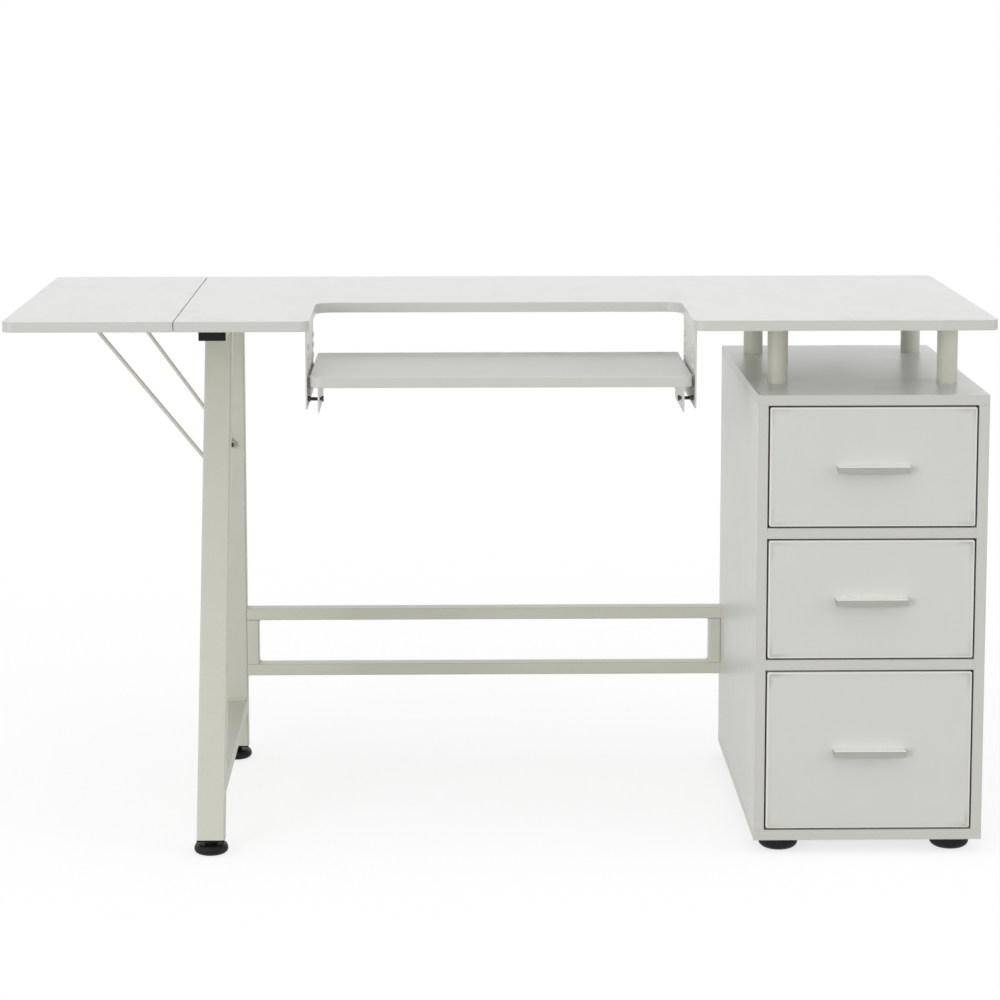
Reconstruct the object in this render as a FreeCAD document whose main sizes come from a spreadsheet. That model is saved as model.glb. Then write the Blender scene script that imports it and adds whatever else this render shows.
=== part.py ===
"""Folding sewing cutting table: a notched worktop with a drop leaf, a shelf hung below the notch,
a tube leg frame on the left and a three drawer cabinet on the right.

Millimetres. X runs to the right, Y to the back and Z up. The origin is on the floor, below the
centre of the worktop with its leaf raised.
"""

import FreeCAD, Part
import math
import os
import Sketcher

# Driving sizes in millimetres, one cell of the sheet each
SIZES = {
    # Worktop and drop leaf
    "table_width": 1400,
    "table_depth": 600,
    "table_height": 780,
    "board_thickness": 15,
    "edge_round": 0.8,
    "corner_round": 14,
    "leaf_width": 240,
    "seam_gap": 1.2,
    "notch_width": 540,
    "notch_depth": 233,
    "notch_inner_round": 25,
    "notch_outer_round": 15,
    # Leaf hinges
    "hinge_spacing": 400,
    "hinge_length": 60,
    "hinge_plate_width": 18,
    "hinge_plate_thickness": 1.2,
    "hinge_axis_drop": 3.5,
    "knuckle_radius": 3.2,
    "knuckle_gap": 0.4,
    "hinge_pin_radius": 1.8,
    # Shared clearances and cuts
    "running_fit": 0.05,
    "moving_gap": 0.3,
    "cut_overrun": 5,
    # Wood screws under the worktop, the leaf and the shelf
    "screw_radius": 2,
    "screw_head_radius": 4,
    "screw_head_height": 2,
    "screw_bite": 10,
    # Leg frame of steel tube
    "leg_offset": 20,
    "leg_width": 40,
    "rear_leg_depth": 30,
    "front_leg_level_depth": 32,
    "front_leg_foot_inset": 33,
    "front_leg_top_inset": 298,
    "rear_leg_inset": 22,
    "leg_wall": 1.5,
    "tube_round": 2.5,
    "leg_foot_height": 22,
    "top_rail_height": 35,
    "top_rail_length": 400,
    "bottom_rail_height": 20,
    "bottom_rail_floor": 78,
    "cap_thickness": 3,
    "plug_depth": 18,
    # Screw glides below the legs
    "glide_radius": 24,
    "glide_height": 14,
    "glide_round": 6,
    "glide_neck_radius": 9,
    "glide_stem_radius": 4,
    "glide_stem_length": 16,
    # Leaf struts
    "strut_radius": 3,
    "strut_pivot_height": 517,
    "front_strut_reach": 197,
    "rear_strut_reach": 175,
    "strut_tip_length": 16,
    "strut_eye_radius": 5.5,
    "strut_eye_thickness": 5,
    "strut_pin_radius": 2.2,
    "strut_shoulder_radius": 3.6,
    "strut_head_radius": 3.8,
    "strut_head_height": 2,
    "front_strut_offset": 17,
    "rear_strut_offset": 5.7,
    "keeper_thickness": 3,
    "keeper_width": 30,
    "keeper_outer_reach": 12,
    "keeper_inner_reach": 30,
    "keeper_rib_width": 4,
    "keeper_rib_height": 7,
    "keeper_bump_width": 4,
    "keeper_screw_spacing": 15,
    "keeper_screw_inset": 8,
    "keeper_bump_height": 1.2,
    # Stretcher between the rear leg and the cabinet
    "stretcher_height": 19,
    "stretcher_depth": 27,
    "stretcher_upper_floor": 229,
    "stretcher_lower_floor": 138,
    "stretcher_wall": 1.2,
    "stretcher_bolt_radius": 3,
    "stretcher_bolt_head_radius": 6,
    "stretcher_bolt_head_height": 2.2,
    "stretcher_bolt_tail": 6,
    # Cabinet
    "cabinet_width": 330,
    "cabinet_depth": 550,
    "cabinet_back_inset": 25,
    "cabinet_height": 650,
    "cabinet_margin": 6,
    "cabinet_foot_height": 20,
    "cabinet_foot_radius": 28,
    "cabinet_foot_round": 9,
    "cabinet_foot_inset": 40,
    "back_thickness": 4,
    "bottom_opening": 236,
    "middle_opening": 177,
    "dowel_radius": 4,
    "dowel_length": 30,
    "dowel_top_depth": 10,
    "dowel_inset": 60,
    # Posts between the cabinet and the worktop
    "post_radius": 15,
    "post_wall": 1.5,
    "post_side_inset": 41,
    "post_front_inset": 125,
    "post_rear_inset": 85,
    "post_bolt_radius": 3,
    "post_bolt_head_radius": 7,
    "post_bolt_head_height": 4,
    # Drawers
    "drawer_gap": 2.6,
    "drawer_front_corner": 3,
    "drawer_front_round": 1.8,
    "drawer_side_gap": 3.5,
    "drawer_side_thickness": 12,
    "drawer_length": 470,
    "drawer_floor_gap": 16,
    "drawer_head_room": 28,
    "drawer_bottom_thickness": 3,
    "drawer_bottom_rise": 8,
    "drawer_groove_depth": 5,
    "runner_height": 10,
    "runner_width": 9,
    "runner_length": 470,
    "runner_set_back": 10,
    "runner_groove_depth": 6,
    # Drawer pulls
    "pull_length": 103,
    "pull_depth": 16,
    "pull_lip": 9.5,
    "pull_wall": 2,
    "pull_round": 0.5,
    "pull_boss": 7,
    "pull_drop": 2,
    "pull_screw_spacing": 64,
    "pull_screw_radius": 1.8,
    "pull_screw_bite": 5,
    # Shelf below the notch, its hangers and the perforated brackets
    "shelf_width": 542,
    "shelf_depth": 270,
    "shelf_front_inset": 25,
    "shelf_corner_round": 16,
    "bracket_gap": 4,
    "bracket_thickness": 2,
    "bracket_drop": 115,
    "bracket_front_inset": 32,
    "bracket_length": 206,
    "bracket_flange": 22,
    "bracket_corner_round": 6,
    "bracket_hole_radius": 2.4,
    "bracket_hole_pitch": 15,
    "bracket_hole_rise": 11,
    "bracket_front_hole_inset": 33,
    "bracket_rear_hole_inset": 33,
    "hanger_gap": 15,
    "hanger_rise": 21,
    "hanger_drop": 36.5,
    "hanger_rear_drop": 25,
    "hanger_step": 146,
    "hanger_length": 193,
    "hanger_flange": 24,
    "hanger_flange_set_back": 18,
    "bolt_head_radius": 4,
    "bolt_head_height": 3.2,
    "bolt_head_gap": 2,
    "bolt_nut_height": 3.6,
}

# Counts and shares
BRACKET_HOLES = 6
HINGE_KNUCKLES = 5
RAIL_SCREW_SHARES = (0.10, 0.55, 0.80)
BRACKET_SCREW_SHARES = (0.12, 0.50, 0.88)
HANGER_SCREW_SHARES = (0.15, 0.70)
HINGE_SCREW_SHARES = (0.18, 0.82)
UPRIGHT_BOLT_SHARES = (0.30, 0.70)
# How far a unit direction may stray and still count as straight
SLIGHT = 1e-6

doc = FreeCAD.newDocument("sewing_table")
sheet = doc.addObject("Spreadsheet::Sheet", "sizes")
for row, (alias, value) in enumerate(SIZES.items(), start=1):
    sheet.set(f"A{row}", alias)
    sheet.set(f"B{row}", str(value))
    sheet.setAlias(f"B{row}", alias)
doc.recompute()

nodes = {}


class Size:
    """A length that carries its value and the sheet expression that gives it."""

    def __init__(self, value, text):
        self.value = value
        self.text = text

    def __add__(self, other):
        return Size(self.value + other.value, f"({self.text} + {other.text})")

    def __sub__(self, other):
        return Size(self.value - other.value, f"({self.text} - {other.text})")

    def __neg__(self):
        return Size(-self.value, f"(-1 * {self.text})")

    def __mul__(self, factor):
        if isinstance(factor, Size):
            return Size(self.value * factor.value, f"({self.text} * {factor.text})")
        return Size(self.value * factor, f"({self.text} * {factor})")

    def __truediv__(self, divisor):
        if isinstance(divisor, Size):
            return Size(self.value / divisor.value, f"({self.text} / {divisor.text})")
        return Size(self.value / divisor, f"({self.text} / {divisor})")


class Sheet:
    """Gives each cell of the sheet as a Size, by its alias."""

    def __getattr__(self, alias):
        return Size(float(sheet.get(alias)), f"sizes.{alias}")


S = Sheet()
ZERO = Size(0.0, "0")

# Main levels and lines of the table
LEFT = -(S.table_width / 2)
RIGHT = S.table_width / 2
FRONT = -(S.table_depth / 2)
BACK = S.table_depth / 2
UNDER_TOP = S.table_height - S.board_thickness
SEAM = LEFT + S.leaf_width
NOTCH_BACK = FRONT + S.notch_depth
HINGE_AXIS = UNDER_TOP - S.hinge_axis_drop

LEG_LEFT = SEAM + S.leg_offset
LEG_RIGHT = LEG_LEFT + S.leg_width
LEG_MIDDLE = LEG_LEFT + S.leg_width / 2
RAIL_UNDER = UNDER_TOP - S.top_rail_height
REAR_LEG_BACK = BACK - S.rear_leg_inset
RAIL_FRONT = REAR_LEG_BACK - S.top_rail_length
REAR_LEG_FRONT = REAR_LEG_BACK - S.rear_leg_depth
LEG_FOOT_FRONT = FRONT + S.front_leg_foot_inset
LEG_TOP_FRONT = FRONT + S.front_leg_top_inset

CABINET_RIGHT = RIGHT - S.cabinet_margin
CABINET_LEFT = CABINET_RIGHT - S.cabinet_width
CABINET_BACK = BACK - S.cabinet_back_inset
CABINET_FRONT = CABINET_BACK - S.cabinet_depth
CABINET_TOP = S.cabinet_foot_height + S.cabinet_height
INSIDE_LEFT = CABINET_LEFT + S.board_thickness
INSIDE_RIGHT = CABINET_RIGHT - S.board_thickness
INSIDE_LOW = S.cabinet_foot_height + S.board_thickness
INSIDE_HIGH = CABINET_TOP - S.board_thickness
INSIDE_BACK = CABINET_BACK - S.back_thickness

SHELF_FRONT = FRONT + S.shelf_front_inset
SHELF_BACK = SHELF_FRONT + S.shelf_depth
BRACKET_FRONT = FRONT + S.bracket_front_inset
BRACKET_LOW = UNDER_TOP - S.bracket_drop
BOLT_HEIGHT = BRACKET_LOW + S.bracket_hole_rise
SHELF_UNDER = BOLT_HEIGHT + S.hanger_rise

ALONG_X = FreeCAD.Rotation(FreeCAD.Vector(0, 0, 1), FreeCAD.Vector(1, 0, 0))
ALONG_Y = FreeCAD.Rotation(FreeCAD.Vector(0, 0, 1), FreeCAD.Vector(0, 1, 0))
ALONG_Z = FreeCAD.Rotation()


def bind(item, prop, size):
    """Drive one property of an object from the sheet."""
    item.setExpression(prop, size.text)


def place(item, x, y, z):
    """Drive an object's position from the sheet."""
    bind(item, "Placement.Base.x", x)
    bind(item, "Placement.Base.y", y)
    bind(item, "Placement.Base.z", z)


def keep(label, item):
    """Name an object as one of the table's own pieces."""
    item.Label = label
    nodes[label] = item
    return item


def box(low, high, name="block"):
    """A plain block between two corners."""
    item = doc.addObject("Part::Box", name)
    for prop, start, end in zip(("Length", "Width", "Height"), low, high):
        bind(item, prop, end - start)
    place(item, *low)
    return item


def rod(base, turn, radius, length, name="rod"):
    """A cylinder from a point, along the direction that a rotation gives."""
    item = doc.addObject("Part::Cylinder", name)
    bind(item, "Radius", radius)
    bind(item, "Height", length)
    item.Placement = FreeCAD.Placement(FreeCAD.Vector(), turn)
    place(item, *base)
    return item


def hexagon(base, turn, radius, length, name="hexagon"):
    """A six sided prism, for bolt heads and nuts."""
    item = doc.addObject("Part::Prism", name)
    item.Polygon = 6
    bind(item, "Circumradius", radius)
    bind(item, "Height", length)
    item.Placement = FreeCAD.Placement(FreeCAD.Vector(), turn)
    place(item, *base)
    return item


def gather(items, name="set"):
    """Several separate solids as one object."""
    item = doc.addObject("Part::Compound", name)
    item.Links = items
    return item


def join(items, name="joined"):
    """Several overlapping solids as one solid."""
    item = doc.addObject("Part::MultiFuse", name)
    item.Shapes = items
    return item


def cut(base, tools, name="cut"):
    """One solid less all the tools."""
    item = doc.addObject("Part::Cut", name)
    item.Base = base
    item.Tool = tools[0] if len(tools) == 1 else gather(tools)
    return item


def origin_plane(body, role):
    """One of a body's own origin planes, by its role."""
    for feature in body.Origin.OriginFeatures:
        if feature.Role == role:
            return feature
    raise ValueError(role)


def outline(body, role, points):
    """A closed sketch of straight runs, each corner driven from the sheet."""
    sketch = body.newObject("Sketcher::SketchObject", "outline")
    sketch.AttachmentSupport = [(origin_plane(body, role), "")]
    sketch.MapMode = "FlatFace"
    spots = [FreeCAD.Vector(x.value, y.value, 0) for x, y in points]
    count = len(spots)
    for index in range(count):
        sketch.addGeometry(Part.LineSegment(spots[index], spots[(index + 1) % count]))
    for index in range(count):
        sketch.addConstraint(Sketcher.Constraint("Coincident", index, 2, (index + 1) % count, 1))
    for index, (x, y) in enumerate(points):
        for kind, size in (("DistanceX", x), ("DistanceY", y)):
            number = sketch.addConstraint(Sketcher.Constraint(kind, -1, 1, index, 1, size.value))
            sketch.setExpression(f"Constraints[{number}]", size.text)
    return sketch


def padded(role, points, length, name="body"):
    """A body padded from an outline on one of its origin planes."""
    body = doc.addObject("PartDesign::Body", name)
    sketch = outline(body, role, points)
    pad = body.newObject("PartDesign::Pad", "pad")
    pad.Profile = sketch
    bind(pad, "Length", length)
    sketch.Visibility = False
    doc.recompute()
    return body


def soften(body, radius, chosen):
    """Round the edges of a body that a test on the edge picks out."""
    base = body.Tip
    names = [f"Edge{i}" for i, edge in enumerate(base.Shape.Edges, start=1) if chosen(edge)]
    fillet = body.newObject("PartDesign::Fillet", "round")
    fillet.Base = (base, names)
    bind(fillet, "Radius", radius)
    doc.recompute()
    return body


def runs_along(axis):
    """A test for straight edges along one axis."""

    def test(edge):
        return isinstance(edge.Curve, Part.Line) and abs(abs(edge.Curve.Direction.dot(axis)) - 1) < SLIGHT

    return test


def stands_at(spots):
    """A test for upright edges above any of some points of an outline."""
    upright = runs_along(FreeCAD.Vector(0, 0, 1))
    reach = S.edge_round.value

    def test(edge):
        if not upright(edge):
            return False
        start = edge.Vertexes[0].Point
        return any(math.hypot(start.x - x.value, start.y - y.value) < reach for x, y in spots)

    return test


def lies_flat(edge):
    """A test for edges that lie in one level."""
    heights = [vertex.Point.z for vertex in edge.Vertexes]
    return edge.BoundBox.ZLength < S.edge_round.value and max(heights) - min(heights) < S.edge_round.value


def every_edge(edge):
    """A test that picks every edge."""
    return True


def block(low, high, rounding, chosen=every_edge, name="board"):
    """A rectangular body between two corners, with its chosen edges rounded."""
    wide, deep, tall = (end - start for start, end in zip(low, high))
    points = ((ZERO, ZERO), (wide, ZERO), (wide, deep), (ZERO, deep))
    body = padded("XY_Plane", points, tall, name=name)
    soften(body, rounding, chosen)
    place(body, *low)
    return body


def tube(low, high, axis, wall, name="tube"):
    """A rectangular tube between two corners, open at both ends of one axis."""
    rounded = runs_along(FreeCAD.Vector(*(1.0 if index == axis else 0.0 for index in range(3))))
    shell = block(low, high, S.tube_round, rounded, name)
    inset = [S.cut_overrun if index == axis else -wall for index in range(3)]
    bore = box([start - step for start, step in zip(low, inset)],
               [end + step for end, step in zip(high, inset)], "bore")
    return cut(shell, [bore], name)


def ring(base, turn, outer, inner, length, name="ring"):
    """A round tube from a point along a direction."""
    return cut(rod(base, turn, outer, length), [rod(base, turn, inner, length)], name)


def upward_screw(x, y, seat, bite):
    """A pan head screw driven upwards, with its head below the seat height."""
    head = rod((x, y, seat - S.screw_head_height), ALONG_Z, S.screw_head_radius, S.screw_head_height)
    shank = rod((x, y, seat - S.screw_head_height), ALONG_Z, S.screw_radius, S.screw_head_height + bite)
    return join([head, shank], "screw")


def worktop_outline():
    """The notched outline of the fixed worktop, with the corners to be rounded."""
    start = SEAM + S.seam_gap / 2
    notch_left = -(S.notch_width / 2)
    notch_right = S.notch_width / 2
    inner = ((notch_left, NOTCH_BACK), (notch_right, NOTCH_BACK))
    mouth = ((notch_left, FRONT), (notch_right, FRONT))
    outer = ((RIGHT, FRONT), (RIGHT, BACK))
    points = ((start, FRONT), mouth[0], inner[0], inner[1], mouth[1], outer[0], outer[1], (start, BACK))
    return points, inner, mouth, outer


def make_worktop(fasteners):
    """The fixed worktop: one board with a wide notch in its front edge."""
    points, inner, mouth, outer = worktop_outline()
    body = padded("XY_Plane", points, S.board_thickness, name="worktop")
    soften(body, S.corner_round, stands_at(outer))
    soften(body, S.notch_inner_round, stands_at(inner))
    soften(body, S.notch_outer_round, stands_at(mouth))
    soften(body, S.edge_round, lies_flat)
    place(body, ZERO, ZERO, UNDER_TOP)
    keep("main_top", cut(body, fasteners, "main_top"))


def make_leaf(fasteners):
    """The drop leaf: a board with two rounded outer corners."""
    edge = SEAM - S.seam_gap / 2
    outer = ((LEFT, FRONT), (LEFT, BACK))
    points = (outer[0], (edge, FRONT), (edge, BACK), outer[1])
    body = padded("XY_Plane", points, S.board_thickness, name="leaf")
    soften(body, S.corner_round, stands_at(outer))
    soften(body, S.edge_round, lies_flat)
    place(body, ZERO, ZERO, UNDER_TOP)
    keep("drop_leaf", cut(body, fasteners, "drop_leaf"))


def hinge_places():
    """The start of each leaf hinge along the seam."""
    return [S.hinge_spacing * side - S.hinge_length / 2 for side in (-0.5, 0.5)]


def hinge_half(start, side, owned, clearance):
    """One half of a hinge: a plate under the board and its share of the knuckles.

    side is 1 for the half under the worktop and -1 for the half under the leaf.
    """
    reach = S.knuckle_radius + S.moving_gap
    under = UNDER_TOP - S.hinge_plate_thickness
    pitch = S.hinge_length / HINGE_KNUCKLES

    def strip(near, far, low_y, high_y):
        ends = (SEAM + near, SEAM + far) if side > 0 else (SEAM - far, SEAM - near)
        return box((ends[0], low_y, under), (ends[1], high_y, UNDER_TOP), "hinge_strip")

    pieces = [strip(reach, S.hinge_plate_width, start, start + S.hinge_length)]
    bores = []
    for index in owned:
        low_y = start + pitch * index + S.knuckle_gap / 2
        length = pitch - S.knuckle_gap
        pieces.append(strip(ZERO, reach + S.moving_gap, low_y, low_y + length))
        pieces.append(rod((SEAM, low_y, HINGE_AXIS), ALONG_Y, S.knuckle_radius, length))
        bores.append(rod((SEAM, low_y, HINGE_AXIS), ALONG_Y, S.hinge_pin_radius + clearance, length))
    return cut(join(pieces), bores, "hinge_half")


def hinge_screws(side):
    """The screws through one side's hinge plates."""
    middle = (S.hinge_plate_width + S.knuckle_radius) / 2
    x = SEAM + middle * side
    seat = UNDER_TOP - S.hinge_plate_thickness
    bite = S.hinge_plate_thickness + S.screw_bite
    return [upward_screw(x, start + S.hinge_length * share, seat, bite)
            for start in hinge_places() for share in HINGE_SCREW_SHARES]


def make_hinges(fixed_screws, moving_screws):
    """Two butt hinges under the seam, with a pin each."""
    fixed = [hinge_half(start, 1, range(0, HINGE_KNUCKLES, 2), ZERO) for start in hinge_places()]
    moving = [hinge_half(start, -1, range(1, HINGE_KNUCKLES, 2), S.running_fit) for start in hinge_places()]
    keep("hinge_plates_fixed", cut(gather(fixed), fixed_screws, "hinge_plates_fixed"))
    keep("hinge_plates_moving", cut(gather(moving), moving_screws, "hinge_plates_moving"))
    pins = [rod((SEAM, start, HINGE_AXIS), ALONG_Y, S.hinge_pin_radius, S.hinge_length)
            for start in hinge_places()]
    keep("hinge_pins", gather(pins, "hinge_pins"))


def front_leg_line(height):
    """The front face of the slanted leg at a height."""
    slope = (LEG_TOP_FRONT - LEG_FOOT_FRONT) / (RAIL_UNDER - S.leg_foot_height)
    return LEG_FOOT_FRONT + (height - S.leg_foot_height) * slope


def slanted_bar(low, high, inset, name):
    """A bar that follows the front leg between two heights, set in by a wall on all long sides."""
    depth = S.front_leg_level_depth
    points = ((front_leg_line(low) + inset, low), (front_leg_line(low) + depth - inset, low),
              (front_leg_line(high) + depth - inset, high), (front_leg_line(high) + inset, high))
    body = padded("YZ_Plane", points, S.leg_width - inset * 2, name=name)
    place(body, LEG_LEFT + inset, ZERO, ZERO)
    return body


def slants(edge):
    """A test for the long edges of the slanted leg."""
    direction = edge.Curve.Direction
    return abs(direction.y) > SLIGHT and abs(direction.z) > SLIGHT


def make_leg_frame(rail_screws, side_bolts):
    """The left leg frame: two legs, a top rail and a bottom rail of steel tube."""
    outer = slanted_bar(S.leg_foot_height, RAIL_UNDER, ZERO, "front_leg")
    soften(outer, S.tube_round, slants)
    bore = slanted_bar(S.leg_foot_height - S.cut_overrun, RAIL_UNDER + S.cut_overrun, S.leg_wall, "bore")
    keep("front_leg", cut(outer, [bore], "front_leg"))
    rear = tube((LEG_LEFT, REAR_LEG_FRONT, S.leg_foot_height), (LEG_RIGHT, REAR_LEG_BACK, RAIL_UNDER), 2,
                S.leg_wall, "rear_leg")
    keep("rear_leg", cut(rear, side_bolts, "rear_leg"))

    rail_start = RAIL_FRONT + S.cap_thickness
    rail = tube((LEG_LEFT, rail_start, RAIL_UNDER), (LEG_RIGHT, REAR_LEG_BACK, UNDER_TOP), 1, S.leg_wall,
                "top_rail")
    keep("top_rail", cut(rail, rail_screws, "top_rail"))

    low, high = S.bottom_rail_floor, S.bottom_rail_floor + S.bottom_rail_height
    start = front_leg_line(low)
    bottom = tube((LEG_LEFT, start, low), (LEG_RIGHT, REAR_LEG_FRONT, high), 1, S.leg_wall, "bottom_rail")
    mitre = slanted_bar(low - S.cut_overrun, high + S.cut_overrun, ZERO, "mitre")
    lead_depth = S.front_leg_level_depth + S.cut_overrun
    lead = box((LEG_LEFT - S.cut_overrun, start - lead_depth, low - S.cut_overrun),
               (LEG_RIGHT + S.cut_overrun, front_leg_line(high) + S.leg_wall, high + S.cut_overrun), "lead")
    keep("bottom_rail", cut(bottom, [mitre, lead], "bottom_rail"))


def end_plug(low, high, axis, sign, bore):
    """A plastic plug for a tube's end: a cover of the tube's own section and a spigot inside it.

    low and high bound the cover, axis is the tube's and sign the way into the tube.
    """
    cover = block(low, high, S.edge_round, name="cover")
    inner_low = [start + S.leg_wall for start in low]
    inner_high = [end - S.leg_wall for end in high]
    near, far = (high[axis], high[axis] + S.plug_depth) if sign > 0 else (low[axis] - S.plug_depth, low[axis])
    inner_low[axis], inner_high[axis] = near, far
    spigot = box(inner_low, inner_high, "spigot")
    plug = join([cover, spigot], "plug")
    return cut(plug, [bore], "plug") if bore else plug


def make_rail_caps():
    """The black caps in both ends of the top rail."""
    front = end_plug((LEG_LEFT, RAIL_FRONT, RAIL_UNDER),
                     (LEG_RIGHT, RAIL_FRONT + S.cap_thickness, UNDER_TOP), 1, 1, None)
    rear = end_plug((LEG_LEFT, REAR_LEG_BACK, RAIL_UNDER),
                    (LEG_RIGHT, REAR_LEG_BACK + S.cap_thickness, UNDER_TOP), 1, -1, None)
    keep("rail_caps", gather([front, rear], "rail_caps"))


def glide_places():
    """The centre of each leg's foot, front then rear."""
    front = front_leg_line(S.leg_foot_height) + S.front_leg_level_depth / 2
    return {"front": front, "rear": REAR_LEG_FRONT + S.rear_leg_depth / 2}


def make_feet():
    """Plugs in the legs' lower ends and the screw glides that turn in them."""
    plugs = []
    plug_low = S.leg_foot_height - S.cap_thickness
    halves = {"front": S.front_leg_level_depth / 2, "rear": S.rear_leg_depth / 2}
    for name, middle in glide_places().items():
        bore = rod((LEG_MIDDLE, middle, plug_low - S.cut_overrun), ALONG_Z,
                   S.glide_stem_radius + S.running_fit, S.plug_depth + S.cap_thickness + S.cut_overrun * 2)
        low = (LEG_LEFT, middle - halves[name], plug_low)
        high = (LEG_RIGHT, middle + halves[name], S.leg_foot_height)
        if name == "rear":
            plugs.append(end_plug(low, high, 2, 1, bore))
        else:
            cover = block(low, high, S.edge_round, name="cover")
            spigot = slanted_bar(S.leg_foot_height, S.leg_foot_height + S.plug_depth, S.leg_wall, "spigot")
            plugs.append(cut(join([cover, spigot], "plug"), [bore], "plug"))

        disc = rod((LEG_MIDDLE, middle, ZERO), ALONG_Z, S.glide_radius, S.glide_height)
        doc.recompute()
        rim = doc.addObject("Part::Fillet", "rim")
        rim.Base = disc
        rim.Edges = [(i, S.glide_round.value, S.glide_round.value)
                     for i, edge in enumerate(disc.Shape.Edges, start=1)
                     if isinstance(edge.Curve, Part.Circle)]
        neck_high = plug_low - S.moving_gap
        neck = rod((LEG_MIDDLE, middle, ZERO), ALONG_Z, S.glide_neck_radius, neck_high)
        stem = rod((LEG_MIDDLE, middle, ZERO), ALONG_Z, S.glide_stem_radius, neck_high + S.glide_stem_length)
        keep(f"{name}_glide", join([rim, neck, stem], f"{name}_glide"))
    keep("leg_plugs", gather(plugs, "leg_plugs"))


STRUT_FOOT_X = LEG_MIDDLE
STRUT_TIP_X = {"front": LEG_MIDDLE - S.front_strut_reach, "rear": LEG_MIDDLE - S.rear_strut_reach}
STRUT_TIP_Z = UNDER_TOP - S.keeper_thickness - S.moving_gap - S.strut_radius


def strut_planes():
    """The level line in which each strut swings, front then rear."""
    leg_rear_face = front_leg_line(S.strut_pivot_height) + S.front_leg_level_depth
    return {"front": leg_rear_face + S.front_strut_offset, "rear": REAR_LEG_FRONT - S.rear_strut_offset}


def tip_spans():
    """Where each strut's bent tip lies along the leaf, on the side away from its leg."""
    planes = strut_planes()
    return {"front": (planes["front"], planes["front"] + S.strut_tip_length),
            "rear": (planes["rear"] - S.strut_tip_length, planes["rear"])}


def make_struts():
    """Two bent rods that hold the leaf up, each with an eye on a shouldered stud of its leg."""
    rise = STRUT_TIP_Z - S.strut_pivot_height
    start = S.strut_head_radius + S.moving_gap
    studs = []
    for name, plane in strut_planes().items():
        tip_x = STRUT_TIP_X[name]
        across = tip_x - STRUT_FOOT_X
        full = math.hypot(across.value, rise.value)
        length = Size(full, f"sqrt({across.text} ^ 2 + {rise.text} ^ 2)")
        lean = FreeCAD.Vector(across.value / full, 0, rise.value / full)
        turn = FreeCAD.Rotation(FreeCAD.Vector(0, 0, 1), lean)
        eye_low = plane - S.strut_eye_thickness / 2
        eye = rod((STRUT_FOOT_X, eye_low, S.strut_pivot_height), ALONG_Y, S.strut_eye_radius,
                  S.strut_eye_thickness)
        hole = rod((STRUT_FOOT_X, eye_low, S.strut_pivot_height), ALONG_Y,
                   S.strut_pin_radius + S.running_fit, S.strut_eye_thickness)
        share = start / length
        bar = rod((STRUT_FOOT_X + across * share, plane, S.strut_pivot_height + rise * share), turn,
                  S.strut_radius, length - start)
        bend = doc.addObject("Part::Sphere", "bend")
        bind(bend, "Radius", S.strut_radius)
        place(bend, tip_x, plane, STRUT_TIP_Z)
        tip = rod((tip_x, tip_spans()[name][0], STRUT_TIP_Z), ALONG_Y, S.strut_radius, S.strut_tip_length)
        keep(f"{name}_strut", cut(join([eye, bar, bend, tip]), [hole], f"{name}_strut"))
        studs.append(strut_stud(name, plane))
    keep("strut_studs", gather(studs, "strut_studs"))


def strut_stud(name, plane):
    """A stud on a leg: a shoulder up to the eye, a pin through it and a head beyond it."""
    gap = S.moving_gap
    half = S.strut_eye_thickness / 2 + gap
    if name == "front":
        inside_leg = front_leg_line(S.strut_pivot_height) + S.front_leg_level_depth / 2
        shoulder = rod((STRUT_FOOT_X, inside_leg, S.strut_pivot_height), ALONG_Y, S.strut_shoulder_radius,
                       plane - half - inside_leg)
        head_low = plane + half
        leg = slanted_bar(S.leg_foot_height, RAIL_UNDER, ZERO, "leg_shape")
        shoulder = cut(shoulder, [leg], "shoulder")
        pin_low = plane - half
    else:
        shoulder = rod((STRUT_FOOT_X, plane + half, S.strut_pivot_height), ALONG_Y, S.strut_shoulder_radius,
                       REAR_LEG_FRONT - plane - half)
        head_low = plane - half - S.strut_head_height
        pin_low = plane - half
    pin = rod((STRUT_FOOT_X, pin_low, S.strut_pivot_height), ALONG_Y, S.strut_pin_radius, half * 2)
    head = rod((STRUT_FOOT_X, head_low, S.strut_pivot_height), ALONG_Y, S.strut_head_radius,
               S.strut_head_height)
    return join([shoulder, pin, head], "stud")


def keeper_screws():
    """Two screws through each keeper, inboard of its rib."""
    inward = S.keeper_inner_reach - S.keeper_screw_inset
    seat = UNDER_TOP - S.keeper_thickness
    bite = S.keeper_thickness + S.screw_bite
    spacing = S.keeper_screw_spacing
    return [upward_screw(STRUT_TIP_X[name] + inward, (low + high) / 2 + spacing * side, seat, bite)
            for name, (low, high) in tip_spans().items() for side in (-0.5, 0.5)]


def make_keepers(screws):
    """Plastic keepers under the leaf: a pad over each strut's tip, a rib and a low catch bump."""
    pad_low = UNDER_TOP - S.keeper_thickness
    keepers = []
    rod_room = S.strut_radius + S.moving_gap
    for name, (tip_low, tip_high) in tip_spans().items():
        low_y = (tip_low + tip_high) / 2 - S.keeper_width / 2
        high_y = low_y + S.keeper_width
        rib_low, rib_high = (tip_low + rod_room, high_y) if name == "front" else (low_y, tip_high - rod_room)
        outer = STRUT_TIP_X[name] - S.keeper_outer_reach
        inner = STRUT_TIP_X[name] + S.keeper_inner_reach
        rib = STRUT_TIP_X[name] + rod_room
        pad = box((outer, low_y, pad_low), (inner, high_y, UNDER_TOP), "pad")
        stop = box((rib, rib_low, pad_low - S.keeper_rib_height),
                   (rib + S.keeper_rib_width, rib_high, pad_low), "rib")
        bump = box((outer, low_y, pad_low - S.keeper_bump_height),
                   (outer + S.keeper_bump_width, high_y, pad_low), "bump")
        keepers.append(join([pad, stop, bump], "keeper"))
    keep("strut_keepers", cut(gather(keepers), screws, "strut_keepers"))


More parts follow.
